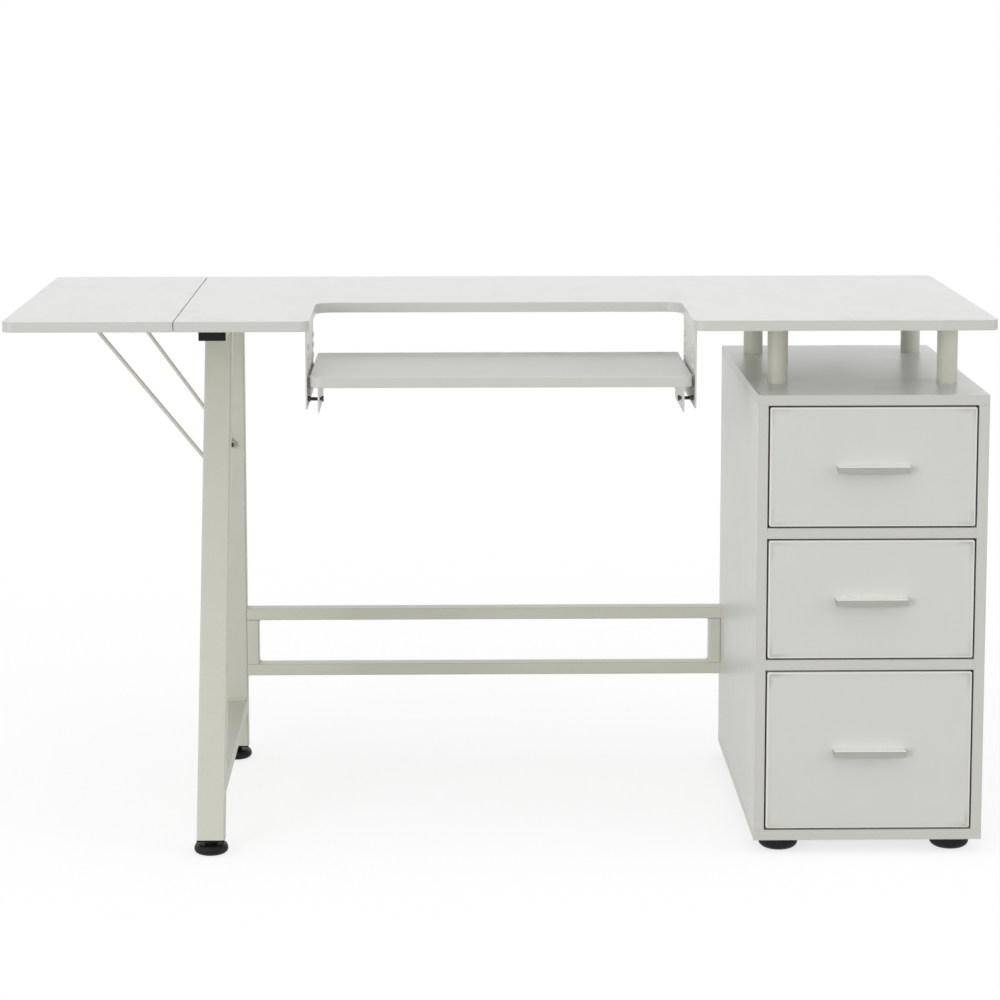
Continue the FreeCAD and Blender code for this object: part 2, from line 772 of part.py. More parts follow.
def upright_spans():
    """The two uprights of the stretcher along X, and the side their bolts come from."""
    return ((LEG_RIGHT, LEG_RIGHT + S.stretcher_height, -1),
            (CABINET_LEFT - S.stretcher_height, CABINET_LEFT, 1))


def stretcher_bolts():
    """Bolts from the rear leg's outer face and from inside the cabinet, into the stretcher's uprights."""
    low = S.stretcher_lower_floor + S.stretcher_height
    tall = S.stretcher_upper_floor - low
    y = REAR_LEG_FRONT + S.stretcher_depth / 2
    bolts = []
    for start, end, side in upright_spans():
        if side < 0:
            head_x = LEG_LEFT - S.stretcher_bolt_head_height
            shank_x, shank_end = head_x, start + S.stretcher_bolt_tail
        else:
            head_x = INSIDE_LEFT
            shank_x, shank_end = end - S.stretcher_bolt_tail, INSIDE_LEFT + S.stretcher_bolt_head_height
        for share in UPRIGHT_BOLT_SHARES:
            z = low + tall * share
            head = rod((head_x, y, z), ALONG_X, S.stretcher_bolt_head_radius, S.stretcher_bolt_head_height)
            shank = rod((shank_x, y, z), ALONG_X, S.stretcher_bolt_radius, shank_end - shank_x)
            bolts.append(join([head, shank], "bolt"))
    return bolts


def make_stretcher(bolts):
    """The welded stretcher frame: two long rails and two uprights."""
    back = REAR_LEG_FRONT + S.stretcher_depth
    rails = [tube((LEG_RIGHT, REAR_LEG_FRONT, floor), (CABINET_LEFT, back, floor + S.stretcher_height), 0,
                  S.stretcher_wall, "rail") for floor in (S.stretcher_lower_floor, S.stretcher_upper_floor)]
    keep("stretcher_rails", gather(rails, "stretcher_rails"))
    low = S.stretcher_lower_floor + S.stretcher_height
    uprights = [tube((start, REAR_LEG_FRONT, low), (end, back, S.stretcher_upper_floor), 2, S.stretcher_wall,
                     "upright") for start, end, side in upright_spans()]
    keep("stretcher_uprights", cut(gather(uprights), bolts, "stretcher_uprights"))
    keep("stretcher_bolts", gather(bolts, "stretcher_bolts"))


def divider_floors():
    """The lower face of each divider, lower then upper."""
    lower = INSIDE_LOW + S.bottom_opening
    return {"lower": lower, "upper": lower + S.board_thickness + S.middle_opening}


def cabinet_dowels():
    """Wood dowels that join the sides to the top, the bottom and the dividers."""
    half = S.board_thickness / 2
    lines = (CABINET_FRONT + S.dowel_inset, CABINET_BACK - S.dowel_inset)
    dowels = []
    for y in lines:
        for x in (CABINET_LEFT + half, CABINET_RIGHT - half):
            top_start = INSIDE_HIGH + S.dowel_top_depth - S.dowel_length
            dowels.append(rod((x, y, top_start), ALONG_Z, S.dowel_radius, S.dowel_length, "dowel"))
            low_start = INSIDE_LOW - S.dowel_top_depth
            dowels.append(rod((x, y, low_start), ALONG_Z, S.dowel_radius, S.dowel_length, "dowel"))
        for floor in divider_floors().values():
            left_start = INSIDE_LEFT - S.dowel_top_depth
            right_start = INSIDE_RIGHT + S.dowel_top_depth - S.dowel_length
            for x in (left_start, right_start):
                dowels.append(rod((x, y, floor + half), ALONG_X, S.dowel_radius, S.dowel_length, "dowel"))
    return dowels


def post_spots():
    """The centres of the four posts."""
    return [(x, y) for x in (CABINET_LEFT + S.post_side_inset, CABINET_RIGHT - S.post_side_inset)
            for y in (CABINET_FRONT + S.post_front_inset, CABINET_BACK - S.post_rear_inset)]


def post_bolts():
    """Long bolts from inside the cabinet, up through the posts and into the worktop."""
    bolts = []
    for x, y in post_spots():
        seat = INSIDE_HIGH - S.post_bolt_head_height
        head = rod((x, y, seat), ALONG_Z, S.post_bolt_head_radius, S.post_bolt_head_height)
        shank = rod((x, y, seat), ALONG_Z, S.post_bolt_radius, UNDER_TOP + S.screw_bite - seat)
        bolts.append(join([head, shank], "bolt"))
    return bolts


def make_posts(bolts):
    """Four round tube posts that hold the worktop above the cabinet."""
    height = UNDER_TOP - CABINET_TOP
    inner = S.post_radius - S.post_wall
    posts = [ring((x, y, CABINET_TOP), ALONG_Z, S.post_radius, inner, height, "post")
             for x, y in post_spots()]
    keep("top_posts", gather(posts, "top_posts"))
    keep("post_bolts", gather(bolts, "post_bolts"))


def make_cabinet(dowels, bolts_through_top, bolts_through_side):
    """The cabinet's case: boards joined by dowels, on four round feet."""
    panels = {
        "cabinet_bottom": ((CABINET_LEFT, CABINET_FRONT, S.cabinet_foot_height),
                           (CABINET_RIGHT, CABINET_BACK, INSIDE_LOW), dowels),
        "cabinet_top": ((CABINET_LEFT, CABINET_FRONT, INSIDE_HIGH),
                        (CABINET_RIGHT, CABINET_BACK, CABINET_TOP), dowels + bolts_through_top),
        "cabinet_left_side": ((CABINET_LEFT, CABINET_FRONT, INSIDE_LOW),
                              (INSIDE_LEFT, CABINET_BACK, INSIDE_HIGH), dowels + bolts_through_side),
        "cabinet_right_side": ((INSIDE_RIGHT, CABINET_FRONT, INSIDE_LOW),
                               (CABINET_RIGHT, CABINET_BACK, INSIDE_HIGH), dowels),
    }
    for name, floor in divider_floors().items():
        panels[f"{name}_divider"] = ((INSIDE_LEFT, CABINET_FRONT, floor),
                                     (INSIDE_RIGHT, INSIDE_BACK, floor + S.board_thickness), dowels)
    for label, (low, high, tools) in panels.items():
        keep(label, cut(block(low, high, S.edge_round, name=label), tools, label))
    keep("cabinet_back", box((INSIDE_LEFT, INSIDE_BACK, INSIDE_LOW),
                             (INSIDE_RIGHT, CABINET_BACK, INSIDE_HIGH)))
    keep("cabinet_dowels", gather(dowels, "cabinet_dowels"))

    feet = []
    for x in (CABINET_LEFT + S.cabinet_foot_inset, CABINET_RIGHT - S.cabinet_foot_inset):
        for y in (CABINET_FRONT + S.cabinet_foot_inset, CABINET_BACK - S.cabinet_foot_inset):
            disc = rod((x, y, ZERO), ALONG_Z, S.cabinet_foot_radius, S.cabinet_foot_height)
            doc.recompute()
            dome = doc.addObject("Part::Fillet", "dome")
            dome.Base = disc
            rounding = S.cabinet_foot_round.value
            dome.Edges = [(i, rounding, rounding) for i, edge in enumerate(disc.Shape.Edges, start=1)
                          if isinstance(edge.Curve, Part.Circle) and edge.Curve.Center.z < rounding]
            feet.append(dome)
    keep("cabinet_feet", gather(feet, "cabinet_feet"))


def drawer_openings():
    """The floor and ceiling of each drawer's opening."""
    floors = divider_floors()
    lower_top = floors["lower"] + S.board_thickness
    upper_top = floors["upper"] + S.board_thickness
    return {"bottom": (INSIDE_LOW, floors["lower"]), "middle": (lower_top, floors["upper"]),
            "top": (upper_top, INSIDE_HIGH)}


def runner_floor(low, high):
    """The lower face of a drawer's runners, half way up its sides."""
    side_low = low + S.drawer_floor_gap
    side_high = high - S.drawer_head_room
    return (side_low + side_high) / 2 - S.runner_height / 2


def make_runners():
    """Plastic runner strips on the cabinet's sides, a pair for each drawer."""
    start = CABINET_FRONT + S.board_thickness + S.runner_set_back
    strips = []
    for low, high in drawer_openings().values():
        floor = runner_floor(low, high)
        for near, far in ((INSIDE_LEFT, INSIDE_LEFT + S.runner_width),
                          (INSIDE_RIGHT - S.runner_width, INSIDE_RIGHT)):
            strips.append(box((near, start, floor), (far, start + S.runner_length, floor + S.runner_height),
                              "runner"))
    keep("drawer_runners", gather(strips, "drawer_runners"))


def make_pull(name, middle_z, screws):
    """A strip pull: a flat top, a front lip and a wedge shaped cheek at each end, open below."""
    middle_x = (CABINET_LEFT + CABINET_RIGHT) / 2
    start = middle_x - S.pull_length / 2
    top = middle_z + S.pull_lip / 2
    low = top - S.pull_lip
    face = CABINET_FRONT
    nose = face - S.pull_depth
    wall = S.pull_wall
    points = ((face, top), (nose, top), (nose, low), (nose + wall, low), (face, top - wall))
    wedge = padded("YZ_Plane", points, S.pull_length, name="wedge")
    soften(wedge, S.pull_round, every_edge)
    place(wedge, start, ZERO, ZERO)
    hollow = box((start + wall, nose + wall, low - S.cut_overrun),
                 (start + S.pull_length - wall, face + S.cut_overrun, top - wall), "hollow")
    bosses = [box((middle_x + S.pull_screw_spacing * side - S.pull_boss / 2, face - S.pull_boss,
                   top - wall - S.pull_boss),
                  (middle_x + S.pull_screw_spacing * side + S.pull_boss / 2, face, top - wall), "boss")
              for side in (-0.5, 0.5)]
    shell = join([cut(wedge, [hollow])] + bosses)
    keep(f"{name}_drawer_pull", cut(shell, screws, f"{name}_drawer_pull"))


def pull_screws(middle_z):
    """The two screws that hold a pull, driven from inside the drawer's front."""
    middle_x = (CABINET_LEFT + CABINET_RIGHT) / 2
    z = middle_z + S.pull_lip / 2 - S.pull_wall - S.pull_boss / 2
    inside = CABINET_FRONT + S.board_thickness
    length = S.board_thickness + S.pull_screw_bite
    screws = []
    for side in (-0.5, 0.5):
        x = middle_x + S.pull_screw_spacing * side
        head = rod((x, inside, z), ALONG_Y, S.screw_head_radius, S.screw_head_height)
        shank = rod((x, inside - length, z), ALONG_Y, S.pull_screw_radius, length + S.screw_head_height)
        screws.append(join([head, shank], "pull_screw"))
    return screws


def make_drawer(name, low, high):
    """One drawer: an inset front with its pull, two grooved sides, a back and a thin bottom."""
    gap = S.drawer_gap
    thick = S.drawer_side_thickness
    pull_z = (low + high) / 2 - S.pull_drop
    front_back = CABINET_FRONT + S.board_thickness
    rear = front_back + S.drawer_length
    side_low = low + S.drawer_floor_gap
    side_high = high - S.drawer_head_room
    outer_left = INSIDE_LEFT + S.drawer_side_gap
    outer_right = INSIDE_RIGHT - S.drawer_side_gap
    inner_left = outer_left + thick
    inner_right = outer_right - thick

    panel_low = side_low + S.drawer_bottom_rise
    panel_high = panel_low + S.drawer_bottom_thickness
    groove = S.drawer_groove_depth
    panel = box((inner_left - groove, front_back - groove, panel_low),
                (inner_right + groove, rear, panel_high))
    keep(f"{name}_drawer_bottom", panel)

    screws = pull_screws(pull_z)
    front = block((INSIDE_LEFT + gap, CABINET_FRONT, low + gap), (INSIDE_RIGHT - gap, front_back, high - gap),
                  S.drawer_front_corner, runs_along(FreeCAD.Vector(0, 1, 0)), name="front")
    soften(front, S.drawer_front_round, lambda edge: edge.BoundBox.YMax < S.edge_round.value)
    keep(f"{name}_drawer_front", cut(front, [panel] + screws, f"{name}_drawer_front"))
    keep(f"{name}_drawer_pull_screws", gather(screws, f"{name}_drawer_pull_screws"))
    make_pull(name, pull_z, screws)

    runner_low = runner_floor(low, high)
    slot_low = runner_low - S.moving_gap
    slot_high = runner_low + S.runner_height
    deep = S.runner_groove_depth
    sides = []
    for near, far, slot_near, slot_far in (
            (outer_left, inner_left, outer_left - S.cut_overrun, outer_left + deep),
            (inner_right, outer_right, outer_right - deep, outer_right + S.cut_overrun)):
        board = block((near, front_back, side_low), (far, rear, side_high), S.edge_round, name="side")
        slot = box((slot_near, front_back - S.cut_overrun, slot_low),
                   (slot_far, rear + S.cut_overrun, slot_high), "slot")
        sides.append(cut(board, [slot, panel], "side"))
    keep(f"{name}_drawer_sides", gather(sides, f"{name}_drawer_sides"))
    keep(f"{name}_drawer_back", block((inner_left, rear - thick, panel_high), (inner_right, rear, side_high),
                                      S.edge_round, name="back"))


def bracket_face(side):
    """The inner face of a bracket: side is 1 on the right and -1 on the left."""
    return (S.shelf_width / 2 + S.bracket_gap) * side


def bolt_lines():
    """The front and rear lines of holes in the brackets."""
    return (BRACKET_FRONT + S.bracket_front_hole_inset,
            BRACKET_FRONT + S.bracket_length - S.bracket_rear_hole_inset)


def bracket_screws():
    """The screws that hold both brackets under the worktop."""
    seat = UNDER_TOP - S.bracket_thickness
    bite = S.bracket_thickness + S.screw_bite
    middle = (S.bracket_thickness + S.bracket_flange) / 2
    return [upward_screw(bracket_face(side) + middle * side, BRACKET_FRONT + S.bracket_length * share, seat,
                         bite) for side in (-1, 1) for share in BRACKET_SCREW_SHARES]


def make_brackets(screws):
    """Perforated angle brackets under the worktop, beside the notch."""
    thick = S.bracket_thickness
    across = runs_along(FreeCAD.Vector(1, 0, 0))
    for name, side in (("left", -1), ("right", 1)):
        face = bracket_face(side)
        points = ((face, BRACKET_LOW), (face + thick * side, BRACKET_LOW),
                  (face + thick * side, UNDER_TOP - thick),
                  (face + S.bracket_flange * side, UNDER_TOP - thick),
                  (face + S.bracket_flange * side, UNDER_TOP), (face, UNDER_TOP))
        angle = padded("XZ_Plane", points, S.bracket_length, name="angle")
        middle = (BRACKET_LOW + UNDER_TOP).value / 2
        soften(angle, S.bracket_corner_round, lambda edge: across(edge) and edge.Vertexes[0].Z < middle)
        place(angle, ZERO, BRACKET_FRONT + S.bracket_length, ZERO)
        near = face - S.cut_overrun if side > 0 else face - thick - S.cut_overrun
        holes = [rod((near, y, BOLT_HEIGHT + S.bracket_hole_pitch * count), ALONG_X, S.bracket_hole_radius,
                     thick + S.cut_overrun * 2, "hole")
                 for y in bolt_lines() for count in range(BRACKET_HOLES)]
        keep(f"{name}_bracket", cut(angle, holes + screws, f"{name}_bracket"))


def make_shelf_bolts():
    """Bolts through the lowest bracket holes, with a nut against each bracket; the shelf hangs on them."""
    bolts = []
    nuts = []
    for side in (-1, 1):
        face = bracket_face(side)
        hanger_inner = face - (S.hanger_gap + S.bracket_thickness) * side
        head_face = hanger_inner - S.bolt_head_gap * side
        tip = face + S.bracket_thickness * side
        for y in bolt_lines():
            low_x = head_face if side > 0 else tip
            shank_length = (tip - head_face) * side
            shank = rod((low_x, y, BOLT_HEIGHT), ALONG_X, S.bracket_hole_radius, shank_length)
            head_x = head_face - S.bolt_head_height if side > 0 else head_face
            head = hexagon((head_x, y, BOLT_HEIGHT), ALONG_X, S.bolt_head_radius, S.bolt_head_height)
            bolts.append(join([shank, head], "bolt"))
            nut_x = face - S.bolt_nut_height if side > 0 else face
            nut = hexagon((nut_x, y, BOLT_HEIGHT), ALONG_X, S.bolt_head_radius, S.bolt_nut_height)
            bore = rod((nut_x, y, BOLT_HEIGHT), ALONG_X, S.bracket_hole_radius, S.bolt_nut_height)
            nuts.append(cut(nut, [bore], "nut"))
    keep("shelf_bolts", gather(bolts, "shelf_bolts"))
    keep("shelf_nuts", gather(nuts, "shelf_nuts"))


def hanger_screws():
    """The screws that hold the hangers under the shelf."""
    seat = SHELF_UNDER - S.bracket_thickness
    bite = S.bracket_thickness + S.screw_bite
    inward = S.hanger_gap + S.bracket_thickness + S.hanger_flange / 2
    return [upward_screw(bracket_face(side) - inward * side, BRACKET_FRONT + S.hanger_length * share, seat,
                         bite) for side in (-1, 1) for share in HANGER_SCREW_SHARES]


def make_hanger(side, screws):
    """A folded plate under the shelf's end, slotted from below to drop over the bolts."""
    thick = S.bracket_thickness
    outer = bracket_face(side) - S.hanger_gap * side
    low_x = outer - thick if side > 0 else outer
    step = BRACKET_FRONT + S.hanger_step
    rear = BRACKET_FRONT + S.hanger_length
    low = SHELF_UNDER - S.hanger_drop
    rear_low = SHELF_UNDER - S.hanger_rear_drop
    points = ((BRACKET_FRONT, SHELF_UNDER), (BRACKET_FRONT, low), (step, low), (step, rear_low),
              (rear, rear_low), (rear, SHELF_UNDER))
    web = padded("YZ_Plane", points, thick, name="web")
    place(web, low_x, ZERO, ZERO)
    inner = outer - (thick + S.hanger_flange) * side
    ends = (inner, outer) if side > 0 else (outer, inner)
    flange_front = BRACKET_FRONT + S.hanger_flange_set_back
    flange = box((ends[0], flange_front, SHELF_UNDER - thick), (ends[1], rear, SHELF_UNDER), "flange")
    slot_radius = S.bracket_hole_radius + S.moving_gap
    cut_x = low_x - S.cut_overrun
    wide = thick + S.cut_overrun * 2
    slots = []
    for y in bolt_lines():
        slots.append(rod((cut_x, y, BOLT_HEIGHT), ALONG_X, slot_radius, wide, "slot"))
        slots.append(box((cut_x, y - slot_radius, low - S.cut_overrun),
                         (cut_x + wide, y + slot_radius, BOLT_HEIGHT), "slot"))
    return cut(join([web, flange]), slots + screws, "hanger")


def make_shelf():
    """The shelf below the notch: a board with rounded front corners and a hanger under each end."""
    half = S.shelf_width / 2
    front = ((-half, SHELF_FRONT), (half, SHELF_FRONT))
    points = (front[0], front[1], (half, SHELF_BACK), (-half, SHELF_BACK))
    screws = hanger_screws()
    body = padded("XY_Plane", points, S.board_thickness, name="shelf")
    soften(body, S.shelf_corner_round, stands_at(front))
    soften(body, S.edge_round, lies_flat)
    place(body, ZERO, ZERO, SHELF_UNDER)
    keep("shelf_board", cut(body, screws, "shelf_board"))
    keep("shelf_hangers", gather([make_hanger(side, screws) for side in (-1, 1)], "shelf_hangers"))
    keep("shelf_screws", gather(screws, "shelf_screws"))


def rail_screws():
    """The screws up through the top rail into the worktop."""
    bite = S.top_rail_height + S.screw_bite
    return [upward_screw(LEG_MIDDLE, RAIL_FRONT + S.top_rail_length * share, RAIL_UNDER, bite)
            for share in RAIL_SCREW_SHARES]


def build():
    """Make every piece of the table."""
    top_rail = rail_screws()
    fixed_hinge = hinge_screws(1)
    moving_hinge = hinge_screws(-1)
    brackets = bracket_screws()
    keepers = keeper_screws()
    uprights = post_bolts()
    frame_bolts = stretcher_bolts()
    dowels = cabinet_dowels()

    make_worktop(top_rail + fixed_hinge + brackets + uprights)
    make_leaf(moving_hinge + keepers)
    make_hinges(fixed_hinge, moving_hinge)
    keep("top_screws", gather(top_rail + fixed_hinge + brackets, "top_screws"))
    keep("leaf_screws", gather(moving_hinge + keepers, "leaf_screws"))
    make_leg_frame(top_rail, frame_bolts)
    make_rail_caps()
    make_feet()
    make_struts()
    make_keepers(keepers)
    make_stretcher(frame_bolts)
    make_cabinet(dowels, uprights, frame_bolts)
    make_posts(uprights)
    make_runners()
    for name, (low, high) in drawer_openings().items():
        make_drawer(name, low, high)
    make_brackets(brackets)
    make_shelf_bolts()
    make_shelf()


def check():
    """Stop if any object failed, or if any piece has no valid shape."""
    doc.recompute()
    failed = [item.Label for item in doc.Objects if "Invalid" in item.State or "Error" in item.State]
    if failed:
        raise RuntimeError(f"failed objects: {failed}")
    for label, item in nodes.items():
        if item.Shape.isNull() or not item.Shape.isValid():
            raise RuntimeError(f"bad shape: {label}")


def export():
    """Write each piece to its own file."""
    os.makedirs("parts", exist_ok=True)
    for label, item in nodes.items():
        item.Shape.exportStep(os.path.join("parts", f"{label}.step"))


build()
check()
export()
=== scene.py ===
"""Looks of a folding cutting table: its finishes, welds, threads and grips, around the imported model."""
import math

import bpy
import numpy as np
from mathutils import Matrix, Vector


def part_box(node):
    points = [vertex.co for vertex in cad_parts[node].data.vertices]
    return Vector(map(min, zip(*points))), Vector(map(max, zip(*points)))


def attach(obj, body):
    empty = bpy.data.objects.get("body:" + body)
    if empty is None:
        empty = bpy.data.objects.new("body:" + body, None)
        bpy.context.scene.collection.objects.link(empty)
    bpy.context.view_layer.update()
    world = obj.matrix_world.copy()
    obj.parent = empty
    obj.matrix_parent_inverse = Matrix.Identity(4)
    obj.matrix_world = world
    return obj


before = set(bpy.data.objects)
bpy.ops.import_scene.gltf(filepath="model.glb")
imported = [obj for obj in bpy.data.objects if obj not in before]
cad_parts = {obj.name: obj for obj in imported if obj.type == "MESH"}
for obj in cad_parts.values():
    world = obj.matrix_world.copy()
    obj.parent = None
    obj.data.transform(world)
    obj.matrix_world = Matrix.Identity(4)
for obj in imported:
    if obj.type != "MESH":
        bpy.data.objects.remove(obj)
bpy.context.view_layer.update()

MM = 0.001

# Camera, fitted to points of the table in the photograph: place in millimetres, turns in radians, and lens
CAMERA_PLACE = (-75.956, -4341.409, 1270.190)
CAMERA_TURN_RIGHT = 0.01819
CAMERA_LOOK_DOWN = 0.12891
CAMERA_TILT = -0.00017
CAMERA_LENS = 104.637
CAMERA_SENSOR = 36.0
CAMERA_SHIFT = -0.155

# Studio, in metres: each level is the share of white that a white card shows when it faces that lamp
TABLE_MIDDLE = (0.0, 0.0, 0.45)
SOFTBOXES = {
    # name: (place, width, level)
    "overhead_softbox": ((-0.5, -0.6, 4.6), 3.6, 0.17),
    "front_left_softbox": ((-4.8, -6.5, 1.6), 3.2, 0.255),
    "right_softbox": ((5.6, -2.6, 2.4), 3.4, 0.125),
    "rear_softbox": ((0.2, 6.5, 1.7), 4.4, 0.065),
}
FILL_LEVEL = 0.50
FULL_WHITE = (1.0, 1.0, 1.0, 1.0)
FLOOR_HALF = 9.0
FLOOR_COLOUR = "#E9E9E6"
# The floor as the camera sees it: a grey that takes the shadow, lifted by a glow, and plain white further out
FLOOR_SEEN_COLOUR = "#A6A6A6"
FLOOR_SEEN_GLOW = 0.73
FLOOR_SHADOW_NEAR = 1.0
FLOOR_SHADOW_FAR = 2.2


def linear(colour):
    """A linear colour with full cover from an sRGB hex value."""
    parts = np.array([int(colour[i:i + 2], 16) for i in (1, 3, 5)]) / 255
    parts = np.where(parts <= 0.04045, parts / 12.92, ((parts + 0.055) / 1.055) ** 2.4)
    return (*parts.tolist(), 1.0)


def per(size):
    """Pattern scale on coordinates in metres, for a feature of this size in millimetres."""
    return 1 / (size * MM)


def add(tree, kind, inputs=None, **settings):
    """One node with its settings; each input takes a value or another node's socket."""
    node = tree.nodes.new(kind)
    for name, value in settings.items():
        setattr(node, name, value)
    for name, value in (inputs or {}).items():
        if isinstance(value, bpy.types.NodeSocket):
            tree.links.new(value, node.inputs[name])
        else:
            node.inputs[name].default_value = value
    return node


# ShaderNodeMix has one set of sockets per kind of value: these are the colour ones
FACTOR, COLOUR_A, COLOUR_B, COLOUR_OUT = 0, 6, 7, 2


def blank(name):
    """A material, its tree, and the object coordinates in it."""
    material = bpy.data.materials.new(name)
    material.use_nodes = True
    tree = material.node_tree
    tree.nodes.clear()
    return material, tree, add(tree, "ShaderNodeTexCoord").outputs["Object"]


def edge_distances(tree, place, low, high):
    """Distances in metres, on a board's surface, to its broad face, its nearest edge and its nearest corner.

    Each axis gives its distance to the nearer face of the board's box. On a face the smallest of the
    three is nought, the middle one is the way to the edge and the largest the way to the corner. The
    thinnest axis alone tells a broad face, where it is nought, from the strip round the rim.
    """
    middle, half = (low + high) / 2, (high - low) / 2
    centred = add(tree, "ShaderNodeMapping", {"Vector": place, "Location": -middle})
    spread = add(tree, "ShaderNodeVectorMath", {0: centred.outputs["Vector"]}, operation="ABSOLUTE")
    inner = add(tree, "ShaderNodeVectorMath", {0: half, 1: spread.outputs["Vector"]}, operation="SUBTRACT")
    axes = add(tree, "ShaderNodeSeparateXYZ", {"Vector": inner.outputs["Vector"]}).outputs
    least = add(tree, "ShaderNodeMath", {0: axes["X"], 1: axes["Y"]}, operation="MINIMUM").outputs[0]
    most = add(tree, "ShaderNodeMath", {0: axes["X"], 1: axes["Y"]}, operation="MAXIMUM").outputs[0]
    lower = add(tree, "ShaderNodeMath", {0: most, 1: axes["Z"]}, operation="MINIMUM").outputs[0]
    edge = add(tree, "ShaderNodeMath", {0: least, 1: lower}, operation="MAXIMUM").outputs[0]
    corner = add(tree, "ShaderNodeMath", {0: most, 1: axes["Z"]}, operation="MAXIMUM").outputs[0]
    thin = min(range(3), key=lambda axis: half[axis])
    return axes[thin], edge, corner


EDGE_STRIP_WHITE = "#D9D9D4"
EDGE_STRIP_START, EDGE_STRIP_FULL = 0.5 * MM, 0.9 * MM
GLUE_LINE_GREY = "#CFCEC6"
# The glue line is 0.2 mm wide, drawn at 0.7 mm so that it shows
GLUE_LINE_START, GLUE_LINE_MIDDLE, GLUE_LINE_END = 1.3 * MM, 1.65 * MM, 2.0 * MM


def edge_strip(tree, tone, skin, edge):
    """The tone of a board with the strip round its rim and the hairline of glue beside it."""
    strip = add(tree, "ShaderNodeMapRange", {"Value": skin, "From Min": EDGE_STRIP_START,
                                             "From Max": EDGE_STRIP_FULL})
    tone = add(tree, "ShaderNodeMix", {FACTOR: strip.outputs[0], COLOUR_A: tone,
                                       COLOUR_B: linear(EDGE_STRIP_WHITE)},
               data_type="RGBA").outputs[COLOUR_OUT]
    rise = add(tree, "ShaderNodeMapRange", {"Value": edge, "From Min": GLUE_LINE_START,
                                            "From Max": GLUE_LINE_MIDDLE})
    fall = add(tree, "ShaderNodeMapRange", {"Value": edge, "From Min": GLUE_LINE_MIDDLE,
                                            "From Max": GLUE_LINE_END, "To Min": 1.0, "To Max": 0.0})
    line = add(tree, "ShaderNodeMath", {0: rise.outputs[0], 1: fall.outputs[0]}, operation="MULTIPLY")
    return add(tree, "ShaderNodeMix", {FACTOR: line.outputs[0], COLOUR_A: tone,
                                       COLOUR_B: linear(GLUE_LINE_GREY)},
               data_type="RGBA").outputs[COLOUR_OUT]


# A brown tint inside the drawer fronts' rims, strongest at the corners
CORNER_BROWN = "#B3A07C"
BROWN_START, BROWN_FULL, BROWN_END = 0.6 * MM, 3.0 * MM, 10.0 * MM
BROWN_CORNER_NEAR, BROWN_CORNER_FAR = 5.0 * MM, 38.0 * MM
BROWN_AT_CORNERS, BROWN_ALONG_EDGES = 0.55, 0.055
# Painted highlight: a pale white along the drawer fronts' rounded rims, where the rounding would catch the
# light
RIM_HIGHLIGHT_WHITE = "#F2F2EF"
RIM_HIGHLIGHT_FULL, RIM_HIGHLIGHT_END = 1.6 * MM, 3.0 * MM


def rim_highlight_and_corner_brown(tree, tone, marks, edge, corner):
    """The tone of a drawer front with a painted highlight along its rounded rim, and a brown tint inside it
    at the corners.
    """
    inset = add(tree, "ShaderNodeMapRange", {"Value": edge, "From Min": BROWN_START, "From Max": BROWN_FULL},
                interpolation_type="SMOOTHSTEP")
    rim = add(tree, "ShaderNodeMapRange", {"Value": edge, "From Min": BROWN_FULL, "From Max": BROWN_END,
                                           "To Min": inset.outputs[0], "To Max": 0.0},
              interpolation_type="SMOOTHSTEP")
    reach = add(tree, "ShaderNodeMapRange", {"Value": corner, "From Min": BROWN_CORNER_NEAR,
                                             "From Max": BROWN_CORNER_FAR, "To Min": BROWN_AT_CORNERS,
                                             "To Max": BROWN_ALONG_EDGES}, interpolation_type="SMOOTHSTEP")
    patchy = add(tree, "ShaderNodeMapRange", {"Value": marks, "From Min": 0.40, "From Max": 0.62,
                                              "To Min": 0.45, "To Max": 1.0})
    browned = add(tree, "ShaderNodeMath", {0: rim.outputs[0], 1: reach.outputs[0]}, operation="MULTIPLY")
    browned = add(tree, "ShaderNodeMath", {0: browned.outputs[0], 1: patchy.outputs[0]}, operation="MULTIPLY")
    tone = add(tree, "ShaderNodeMix", {FACTOR: browned.outputs[0], COLOUR_A: tone,
                                       COLOUR_B: linear(CORNER_BROWN)}, data_type="RGBA").outputs[COLOUR_OUT]
    # Painted highlight: pale white within 1.6 mm of the edge, fading out by 3 mm
    pale = add(tree, "ShaderNodeMapRange", {"Value": edge, "From Min": RIM_HIGHLIGHT_FULL,
                                            "From Max": RIM_HIGHLIGHT_END, "To Min": 1.0, "To Max": 0.0})
    return add(tree, "ShaderNodeMix", {FACTOR: pale.outputs[0], COLOUR_A: tone,
                                       COLOUR_B: linear(RIM_HIGHLIGHT_WHITE)},
               data_type="RGBA").outputs[COLOUR_OUT]


MELAMINE_WHITE = "#E5E5E2"
MELAMINE_SHADE = "#DFDFDB"
MELAMINE_DRIFT_SIZE, MELAMINE_MARK_SIZE = 140, 38
# The pressed pearls are about 0.4 mm, drawn at 2.2 mm so that they show
MELAMINE_PEARL_SIZE = 2.2
MELAMINE_PEARL_DEPTH = 0.25 * MM


